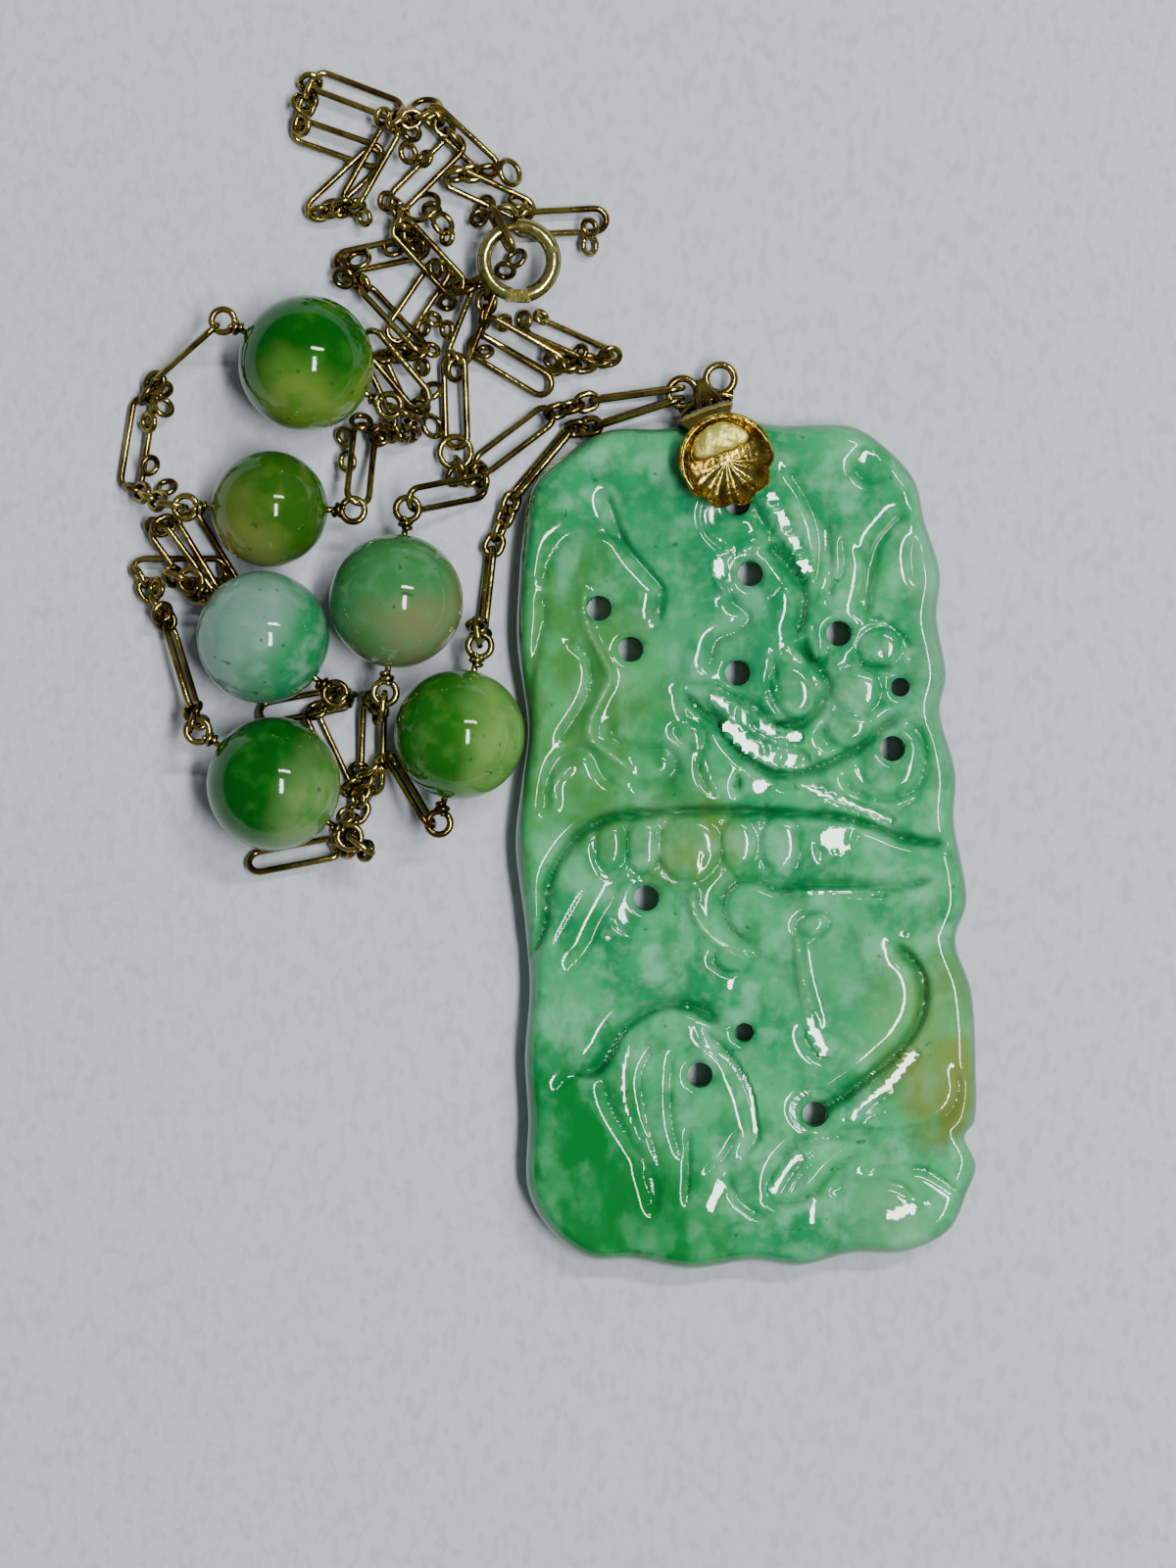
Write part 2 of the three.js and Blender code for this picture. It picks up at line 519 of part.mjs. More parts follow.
function bead(index) {
  const radius = beadRadius[index];
  const bore = BEAD_BORE / 2;
  const edge = Math.asin(bore / radius);
  const profile = [];
  const steps = BEAD_SIDES / 2;
  for (let i = 0; i <= steps; i += 1) {
    const angle = edge + ((Math.PI - 2 * edge) * i) / steps;
    profile.push(new THREE.Vector2(radius * Math.sin(angle), -radius * Math.cos(angle)));
  }
  profile.push(profile[0].clone());
  return new THREE.LatheGeometry(profile, BEAD_SIDES).rotateZ(Math.PI / 2);
}

// Bail: a strap over the plaque's edge, pinned through its hole, with two rings on top.
const bailFoot = new THREE.Vector3(BAIL_HOLE[0] * SCALE, BAIL_HOLE[1] * SCALE, 0);
const strapEnd = (drawnTop - BAIL_HOLE[1]) * SCALE + 2 * STRAP_GAP;
const yokeReach = strapEnd + STRAP_THICKNESS + YOKE_DEPTH / 3;
const ringReach = yokeReach + BAIL_RING / 2 - WIRE / 4;
const bailRings = BAIL_RINGS_AT.map((x) => new THREE.Vector3(x, ringReach, BAIL_RING_HEIGHT));

function bailPlace(point) {
  return point.clone().applyAxisAngle(new THREE.Vector3(0, 0, 1), BAIL_TURN * TURN).add(bailFoot);
}

function bailStrap() {
  const front = PLAQUE_THICKNESS + STRAP_GAP;
  const back = STRAP_GAP / 2;
  const tip = -STRAP_WIDTH / 3;
  const side = new THREE.Shape();
  side.moveTo(tip, back);
  side.lineTo(strapEnd, back);
  side.lineTo(strapEnd + STRAP_THICKNESS, back + 0.4);
  side.lineTo(strapEnd + STRAP_THICKNESS, front);
  side.lineTo(strapEnd - 0.4, front + STRAP_THICKNESS);
  side.lineTo(tip, front + STRAP_THICKNESS);
  side.lineTo(tip, front);
  side.lineTo(strapEnd - 0.2, front);
  side.lineTo(strapEnd, front - 0.3);
  side.lineTo(strapEnd, back + STRAP_THICKNESS);
  side.lineTo(tip, back + STRAP_THICKNESS);
  const strap = new THREE.ExtrudeGeometry(side, { depth: STRAP_WIDTH, bevelEnabled: false });
  strap.applyMatrix4(new THREE.Matrix4().makeBasis(
    new THREE.Vector3(0, 1, 0), new THREE.Vector3(0, 0, 1), new THREE.Vector3(1, 0, 0),
  ));
  strap.translate(-STRAP_WIDTH / 2, 0, 0);
  const pinLength = front - back;
  const pinThrough = new THREE.CylinderGeometry(BAIL_PIN / 2, BAIL_PIN / 2, pinLength, 8);
  pinThrough.rotateX(Math.PI / 2).translate(0, 0, back + STRAP_THICKNESS / 2 + pinLength / 2);
  const [firstRing, secondRing] = BAIL_RINGS_AT;
  const yoke = new THREE.BoxGeometry(secondRing - firstRing + 0.6, YOKE_DEPTH, YOKE_THICKNESS);
  yoke.translate((firstRing + secondRing) / 2, yokeReach, BAIL_RING_HEIGHT);
  const rings = bailRings.map((centre) => wireRing(BAIL_RING, centre));
  const body = joined([solid(strap), solid(pinThrough), solid(yoke), ...rings]);
  return body.rotate([0, 0, BAIL_TURN]).translate([bailFoot.x, bailFoot.y, 0]);
}

// Lotus blossom: a ribbed fan of petals with one cupped petal folded over its top.
function bailBlossom() {
  const count = 2 * BLOSSOM_RIBS;
  const radius = BLOSSOM_WIDTH / 2;
  const rows = [[0.92, 0], [1, 0.45], [0.95, 0.75], [0.55, 1], [0.25, 0.85]];
  const rings = rows.map(([share, rise]) => {
    const ring = [];
    for (let i = 0; i < count; i += 1) {
      const angle = (i * 2 * Math.PI) / count;
      const rib = Math.cos(BLOSSOM_RIBS * angle);
      const reach = radius * share * (1 + 0.05 * rib);
      const z = rise * BLOSSOM_HEIGHT * (rise ? 0.8 + 0.08 * rib : 1);
      ring.push(new THREE.Vector3(reach * Math.cos(angle), reach * Math.sin(angle), z));
    }
    return ring;
  });
  const fan = solid(stackedRings(rings));
  const cupped = new THREE.SphereGeometry(1, 10, 6).rotateX(Math.PI / 2);
  cupped.scale(radius * 0.82, radius * 0.5, BLOSSOM_HEIGHT * 0.62);
  cupped.translate(0, radius * 0.42, BLOSSOM_HEIGHT * 0.66);
  const seat = PLAQUE_THICKNESS + 2 * STRAP_GAP + STRAP_THICKNESS;
  const foot = bailPlace(new THREE.Vector3(0.1, 2.6, seat));
  return fan.add(solid(cupped)).rotate([0, 0, BAIL_TURN]).translate([foot.x, foot.y, seat]);
}

// Clasp: a round tube with a small fixed eye and its thumb lever.
const CLASP_PLACE = new THREE.Vector3(-14.7, 37.3, CLASP_HEIGHT);

function clasp() {
  const tube = new THREE.TorusGeometry((CLASP_DIAMETER - CLASP_TUBE) / 2, CLASP_TUBE / 2, 6, 16);
  const eyePlace = new THREE.Vector3(-0.9, CLASP_DIAMETER / 2 + CLASP_EYE / 2 - 0.85, -0.2);
  const eye = new THREE.TorusGeometry((CLASP_EYE - WIRE) / 2, FACETED_WIRE, WIRE_SIDES, 8);
  eye.rotateX(Math.PI / 5).translate(eyePlace.x, eyePlace.y, eyePlace.z);
  const lever = new THREE.CylinderGeometry(THUMB_LEVER / 2, THUMB_LEVER / 2, THUMB_LEVER_HEIGHT, 6);
  lever.rotateX(Math.PI / 2);
  lever.translate(CLASP_DIAMETER / 2 - CLASP_TUBE / 2, 0.6, CLASP_TUBE / 2);
  const body = joined([solid(tube), solid(eye), solid(lever)]);
  return body.translate([CLASP_PLACE.x, CLASP_PLACE.y, CLASP_PLACE.z]);
}

// Two strands run past the plaque's upper left corner, one outside the other.
const cornerLinks = {
  outer: besidePlaque(STRAND_LINKS.besideCorner, CORNER_CLEARANCE_OUTER),
  inner: besidePlaque(STRAND_LINKS.roundCorner, CORNER_CLEARANCE),
};

// Strands. The first bail ring holds the first link of two of them, side by side.
function firstLinks() {
  const ring = bailPlace(bailRings[0]).sub(CORNER_SHIFT);
  const apart = 0.73 * WIRE;
  const upper = new THREE.Vector3(ring.x, ring.y + apart, ring.z);
  const lower = new THREE.Vector3(ring.x, ring.y - apart, ring.z);
  const towards = (from, to) => Math.atan2(to.y - from.y, to.x - from.x) / TURN;
  return {
    upper: longLinkFrom(upper, towards(upper, cornerLinks.outer.start) - 3, 80, 1.05),
    lower: longLinkFrom(lower, towards(lower, cornerLinks.inner.start) + 3, 80, 1.05),
  };
}

const long = {};
for (const [name, place] of Object.entries(HEAP_LINKS)) long[name] = longLink(place);

const heapRing = new THREE.Vector3(-18.8, 25.3, GROUND + 0.2);

function strandBailToBead4() {
  const first = firstLinks().upper;
  const second = cornerLinks.outer;
  const third = longLinkFrom(pinBearing(3, false, 80).point, 14, 20, GROUND + 0.1);
  const free = freeLink(heapRing.clone().add(new THREE.Vector3(0, -0.8 * WIRE, 0)), -67, 80);
  return joined([
    longLinkBody(first),
    longLinkBody(second),
    longLinkBody(third),
    ...smallLinks(bearing(first, true), bearing(second, false)),
    ...smallLinks(bearing(second, true), bearing(third, true)),
    free.body,
    ...smallLinks(bearing(free, true), bearing(second, true)),
    pin(3),
  ]);
}

function strandBailToBead5() {
  const first = firstLinks().lower;
  const second = cornerLinks.inner;
  const third = longLink(STRAND_LINKS.aboveBead5);
  const free = freeLink(pinLoop(4, false), 100, 90);
  return joined([
    longLinkBody(first),
    longLinkBody(second),
    longLinkBody(third),
    ...smallLinks(bearing(first, true), bearing(second, false)),
    ...smallLinks(bearing(second, true), bearing(third, false)),
    free.body,
    ...smallLinks(bearing(third, true), bearing(free, true)),
  ]);
}

function strandBead3ToBead5() {
  const first = longLinkFrom(pinBearing(4, true, 200).point, 122, 75, 1.3);
  const second = longLink(STRAND_LINKS.belowBead3);
  const third = longLink(STRAND_LINKS.betweenBeads);
  return joined([
    longLinkBody(first),
    longLinkBody(second),
    longLinkBody(third),
    ...smallLinks(bearing(first, true), bearing(second, false)),
    ...smallLinks(bearing(second, true), bearing(third, false)),
    ...smallLinks(bearing(third, false), pinBearing(2, true, -40)),
    pin(2),
    pin(4),
  ]);
}

function strandBead4ToBead6() {
  const first = longLink(STRAND_LINKS.belowBead4);
  const second = longLink(STRAND_LINKS.belowBead6);
  const top = freeLink(pinLoop(3, true), -97, 90);
  const bottom = freeLink(pinLoop(5, true), -35, 90);
  return joined([
    longLinkBody(first),
    longLinkBody(second),
    top.body,
    bottom.body,
    ...smallLinks(bearing(top, true), bearing(first, false)),
    ...smallLinks(bearing(first, true), bearing(second, false)),
    ...smallLinks(bearing(second, false), bearing(bottom, true)),
  ]);
}

function strandBead6ToBead3() {
  const first = longLink(STRAND_LINKS.besideBead6);
  const second = longLink(STRAND_LINKS.crossedLow);
  const third = longLink(STRAND_LINKS.crossedMiddle);
  const fourth = longLink(STRAND_LINKS.crossedTop);
  const free = freeLink(pinLoop(2, false), 160, 90);
  return joined([
    longLinkBody(first),
    longLinkBody(second),
    longLinkBody(third),
    longLinkBody(fourth),
    ...smallLinks(pinBearing(5, false, 145), bearing(first, false)),
    ...smallLinks(bearing(first, true), bearing(second, false)),
    ...smallLinks(bearing(second, true), bearing(third, false)),
    ...smallLinks(bearing(third, true), bearing(fourth, false)),
    ...smallLinks(bearing(fourth, true), bearing(free, true)),
    free.body,
    pin(5),
  ]);
}

function strandBead1ToBead2() {
  const first = longLinkFrom(pinBearing(0, false, 215).point, 217, 80, 1.2);
  const second = longLink(STRAND_LINKS.besideBead2);
  const free = freeLink(pinLoop(1, false), 170, 90);
  return joined([
    longLinkBody(first),
    longLinkBody(second),
    ...smallLinks(bearing(first, true), bearing(second, false)),
    ...smallLinks(bearing(second, true), bearing(free, true)),
    free.body,
    pin(0),
  ]);
}

function heap() {
  const fromBead2 = longLinkFrom(pinBearing(1, true, 60).point, 86, 20, GROUND);
  const free = freeLink(pinLoop(0, true), -27, 90);
  const runs = [
    [bearing(fromBead2, true), bearing(long.lowerOuter, false)],
    [bearing(free, true), bearing(long.lowerOuter, false)],
    [bearing(long.lowerOuter, true), bearing(long.bronze, false)],
    [bearing(long.bronze, true), bearing(long.leftLow, false)],
    [bearing(long.leftLow, true), bearing(long.crossing, false)],
    [bearing(long.crossing, true), bearing(long.upright, false)],
    [bearing(long.upright, true), bearing(long.drop, false)],
    [bearing(long.behindRidge, true), bearing(long.crossing, false)],
    [bearing(long.ridge, false), bearing(long.behindRidge, false)],
    [bearing(long.topLean, false), bearing(long.ridge, false)],
    [bearing(long.topLean, false), bearing(long.topOuter, false)],
    [bearing(long.topOuter, true), bearing(long.topInner, false)],
    [bearing(long.topLean, true), bearing(long.topLoose, false)],
    [bearing(long.ridge, true), bearing(long.claspLeft, false)],
    [bearing(long.claspLeft, true), bearing(long.claspRight, false)],
    [bearing(long.upright, false), bearing(long.rightUpper, false)],
    [bearing(long.rightUpper, true), bearing(long.rightLong, false)],
  ];
  return joined([
    ...Object.values(long).map(longLinkBody),
    longLinkBody(fromBead2),
    wireRing(HEAP_RING, heapRing),
    free.body,
    ...runs.flatMap(([from, to]) => smallLinks(from, to)),
    pin(1),
  ]);
}

const jade = { color: 0x5fa37c, roughness: 0.18, metalness: 0 };
const gold = { color: 0xb9a257, roughness: 0.25, metalness: 1 };

function piece(name, geometry, finish) {
  const mesh = new THREE.Mesh(geometry, new THREE.MeshStandardMaterial(finish));
  mesh.name = name;
  return mesh;
}

const pendant = new THREE.Group();
pendant.add(piece("carved_plaque", geometryOf(plaque()), jade));
pendant.add(piece("bail_strap", geometryOf(bailStrap()), gold));
pendant.add(piece("bail_blossom", geometryOf(bailBlossom()), gold));

const necklace = new THREE.Group();
necklace.position.copy(CORNER_SHIFT);
pendant.add(necklace);

beadPlaces.forEach((place, index) => {
  const ball = piece(`jade_bead_${index + 1}`, bead(index), jade);
  ball.position.copy(place);
  ball.rotation.z = PIN_HEADINGS[index] * TURN;
  necklace.add(ball);
});

necklace.add(piece("chain_bail_to_bead_4", geometryOf(strandBailToBead4()), gold));
necklace.add(piece("chain_bail_to_bead_5", geometryOf(strandBailToBead5()), gold));
necklace.add(piece("chain_bead_3_to_bead_5", geometryOf(strandBead3ToBead5()), gold));
necklace.add(piece("chain_bead_4_to_bead_6", geometryOf(strandBead4ToBead6()), gold));
necklace.add(piece("chain_bead_6_to_bead_3", geometryOf(strandBead6ToBead3()), gold));
necklace.add(piece("chain_bead_1_to_bead_2", geometryOf(strandBead1ToBead2()), gold));
necklace.add(piece("chain_heap", geometryOf(heap()), gold));
necklace.add(piece("spring_ring_clasp", geometryOf(clasp()), gold));

export default pendant;
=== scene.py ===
"""Carved jade plaque on its gold bail, with bead chain and clasp, lying on pale paper."""

import math

import bmesh
import bpy
import numpy as np
from mathutils import Matrix, Vector


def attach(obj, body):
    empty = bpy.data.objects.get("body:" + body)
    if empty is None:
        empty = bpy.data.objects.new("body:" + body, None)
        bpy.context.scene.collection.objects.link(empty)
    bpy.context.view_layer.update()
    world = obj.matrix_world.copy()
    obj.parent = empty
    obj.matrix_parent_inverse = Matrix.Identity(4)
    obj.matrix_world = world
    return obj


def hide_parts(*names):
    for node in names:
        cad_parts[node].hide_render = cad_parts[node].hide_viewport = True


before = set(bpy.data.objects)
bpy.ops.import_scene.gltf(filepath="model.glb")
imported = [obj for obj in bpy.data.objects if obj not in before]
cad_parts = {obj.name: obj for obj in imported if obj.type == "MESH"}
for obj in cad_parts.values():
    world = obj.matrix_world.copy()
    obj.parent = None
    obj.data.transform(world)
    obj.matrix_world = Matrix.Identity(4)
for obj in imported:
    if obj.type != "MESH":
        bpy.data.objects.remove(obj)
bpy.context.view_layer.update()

# Table
# A plain sheet of pale, slightly fibrous paper. Everything lies on it and is
# seen from straight above, under two level strip lights in a dim grey room.
MM = 0.001


def paint(red, green, blue):
    """A colour as seen on a screen, from 0 to 255, as the light that it sends back."""
    parts = [part / 255 for part in (red, green, blue)]
    return [*(p / 12.92 if p < 0.04045 else ((p + 0.055) / 1.055) ** 2.4 for p in parts), 1]


class Tone:
    """A number or colour that varies over a surface, with its sums written as usual."""

    def __init__(self, finish, socket):
        self.finish = finish
        self.socket = socket

    def worked(self, operation, *values):
        settings = {"operation": operation}
        return self.finish.node("ShaderNodeMath", settings, dict(enumerate(values)))

    def __add__(self, other):
        return self.worked("ADD", self, other)

    def __radd__(self, other):
        return self.worked("ADD", other, self)

    def __sub__(self, other):
        return self.worked("SUBTRACT", self, other)

    def __rsub__(self, other):
        return self.worked("SUBTRACT", other, self)

    def __mul__(self, other):
        return self.worked("MULTIPLY", self, other)

    def __rmul__(self, other):
        return self.worked("MULTIPLY", other, self)

    def between(self, low, high):
        """0 at low, 1 at high and beyond, easing in and out."""
        settings = {"interpolation_type": "SMOOTHSTEP"}
        return self.finish.node("ShaderNodeMapRange", settings, {0: self, 1: low, 2: high})


class Finish:
    """A surface finish that is worked out from where each point lies."""

    def __init__(self, name, **constants):
        self.material = bpy.data.materials.new(name)
        self.material.use_nodes = True
        self.tree = self.material.node_tree
        self.shader = self.tree.nodes["Principled BSDF"]
        for socket, value in constants.items():
            self.shader.inputs[socket.replace("_", " ")].default_value = value
        self.place = self.node("ShaderNodeTexCoord", {}, {}, "Object")

    def node(self, kind, settings, inputs, output=0):
        node = self.tree.nodes.new(kind)
        for setting, value in settings.items():
            setattr(node, setting, value)
        for socket, value in inputs.items():
            self.feed(node.inputs[socket], value)
        return Tone(self, node.outputs[output])

    def vector(self, operation, inputs, output=0):
        return self.node("ShaderNodeVectorMath", {"operation": operation}, inputs, output)

    def upward(self, vector):
        """The part of a vector that points up from the table."""
        return self.node("ShaderNodeSeparateXYZ", {}, {0: vector}, 2)

    def feed(self, socket, value):
        if isinstance(value, Tone):
            self.tree.links.new(value.socket, socket)
        else:
            socket.default_value = value

    def give(self, socket, tone):
        self.feed(self.shader.inputs[socket], tone)

    def clouds(self, size, seed, detail=2.0, stretch=(1, 1, 1)):
        """Soft clouds of about that size in millimetres, from 0 to 1."""
        start = (seed * 0.37, seed * 0.61, seed * 0.23)
        way = self.vector("MULTIPLY_ADD", {0: self.place, 1: stretch, 2: start})
        inputs = {"Vector": way, "Scale": 1 / (size * MM), "Detail": detail}
        return self.node("ShaderNodeTexNoise", {}, inputs)

    def mix(self, share, first, second):
        """The first colour turning into the second as share goes from 0 to 1."""
        return self.node("ShaderNodeMix", {"data_type": "RGBA"}, {0: share, 6: first, 7: second}, 2)

    def bumps(self, height, depth):
        """Relief of that depth in millimetres, where height goes from 0 to 1."""
        inputs = {"Height": height, "Distance": depth * MM, "Strength": 1.0}
        self.give("Normal", self.node("ShaderNodeBump", {}, inputs))


def placed(name, data, place=(0, 0, 0)):
    """A thing set down at a place in millimetres."""
    thing = bpy.data.objects.new(name, data)
    thing.location = Vector(place) * MM
    bpy.context.scene.collection.objects.link(thing)
    return thing


def table():
    paper = Finish("paper", Roughness=0.9, Specular_IOR_Level=0.2)
    grain = paper.clouds(0.6, 1, 2, (1, 0.6, 1))
    cast = paper.clouds(40, 2, 1)
    colour = paper.mix(cast, paint(203, 210, 219), paint(210, 216, 224))
    colour = paper.mix(grain.between(0.45, 0.7) * 0.8, colour, paint(190, 198, 209))
    paper.give("Base Color", colour)
    paper.bumps(grain, 0.04)
    half = 0.6
    corners = [(-half, -half, 0), (half, -half, 0), (half, half, 0), (-half, half, 0)]
    mesh = bpy.data.meshes.new("table")
    mesh.from_pydata(corners, [], [(0, 1, 2, 3)])
    mesh.materials.append(paper.material)
    placed("table", mesh)


def strip_light(name, place, width, length, watts):
    """A level strip light, with its place and size in millimetres."""
    lamp = bpy.data.lights.new(name, "AREA")
    lamp.shape = "RECTANGLE"
    lamp.size = width * MM
    lamp.size_y = length * MM
    lamp.energy = watts
    lamp.color = (1, 0.98, 0.95)
    placed(name, lamp, place)


def camera():
    view = bpy.data.cameras.new("camera")
    view.lens = 100
    view.sensor_width = 36
    bpy.context.scene.camera = placed("camera", view, (-10.3, 4.06, 280))


def room():
    world = bpy.data.worlds.new("room")
    world.use_nodes = True
    light = world.node_tree.nodes["Background"].inputs
    light["Color"].default_value = (0.93, 0.96, 1, 1)
    light["Strength"].default_value = 0.15
    bpy.context.scene.world = world


table()
camera()
strip_light("long_strip", (160, -40, 600), 64, 260, 3.4)
strip_light("cross_strip", (240, 262, 600), 260, 44, 2.4)
room()


# Carved plaque
# One slab of mottled green jade, its back ground flat and its rim rounded. The
# front is carved in low relief with wheels and points: leaves, a branch and its
# peas. Twelve holes are drilled through the ground and the whole is polished.
PLAQUE_THICKNESS = 4.2
RIM_INSET = 1.2
BACK_INSET = 1.5
WIDEST = 0.5 * PLAQUE_THICKNESS
SPINE_REACH = 13
POLISHED_OFF = 0.004
DRILLED_HOLE = 1.6
SMALL_DRILLED_HOLE = 1.2
BAIL_HOLE = (-0.8, 21.9)
BAIL_TURN = 20
OUTLINE = [
    (-11.8, 25.1), (-9.2, 26.6), (-5.4, 26.8), (-0.9, 27.3), (2.2, 27), (6.6, 26.9), (8.8, 25.5),
    (10.6, 23.4), (11.2, 20.9), (12.2, 17.5), (12, 14.7), (12.6, 10.9), (12.2, 8.8), (13.2, 4.7),
    (13.1, 1.8), (13.9, -3.4), (13.2, -5.9), (14.2, -9.1), (14.5, -14.1), (14.4, -17.5), (13.8, -18.4),
    (14.5, -20.3), (13.9, -22.1), (12.8, -24.4), (10, -25.8), (6.6, -25.9), (3.2, -26.7), (0.2, -26.4),
    (-3.8, -26.9), (-7.5, -26.3), (-10.3, -26.2), (-12.8, -24.4), (-14.2, -21.8), (-14.2, -17.2),
    (-14.4, -13.4), (-14.1, -8.8), (-14.4, -4.9), (-15, 0.3), (-14.6, 4.1), (-14.2, 7.5),
    (-14.9, 13.1), (-14.8, 16.8), (-14.5, 20), (-13.9, 23.1),
]
HOLES = [
    (-9.6, 15.2), (-7.6, 12.6), (0, 17.4), (-0.8, 11.1), (5.6, 13.6), (9, 6.3), (-6.6, -3.2),
    (-3.2, -14.4), (4.1, -16.9),
]
SMALL_HOLES = [(9.5, 10.2), (-0.4, -11.7)]
DRILLED = [(hole, DRILLED_HOLE) for hole in [BAIL_HOLE, *HOLES]]
DRILLED += [(hole, SMALL_DRILLED_HOLE) for hole in SMALL_HOLES]

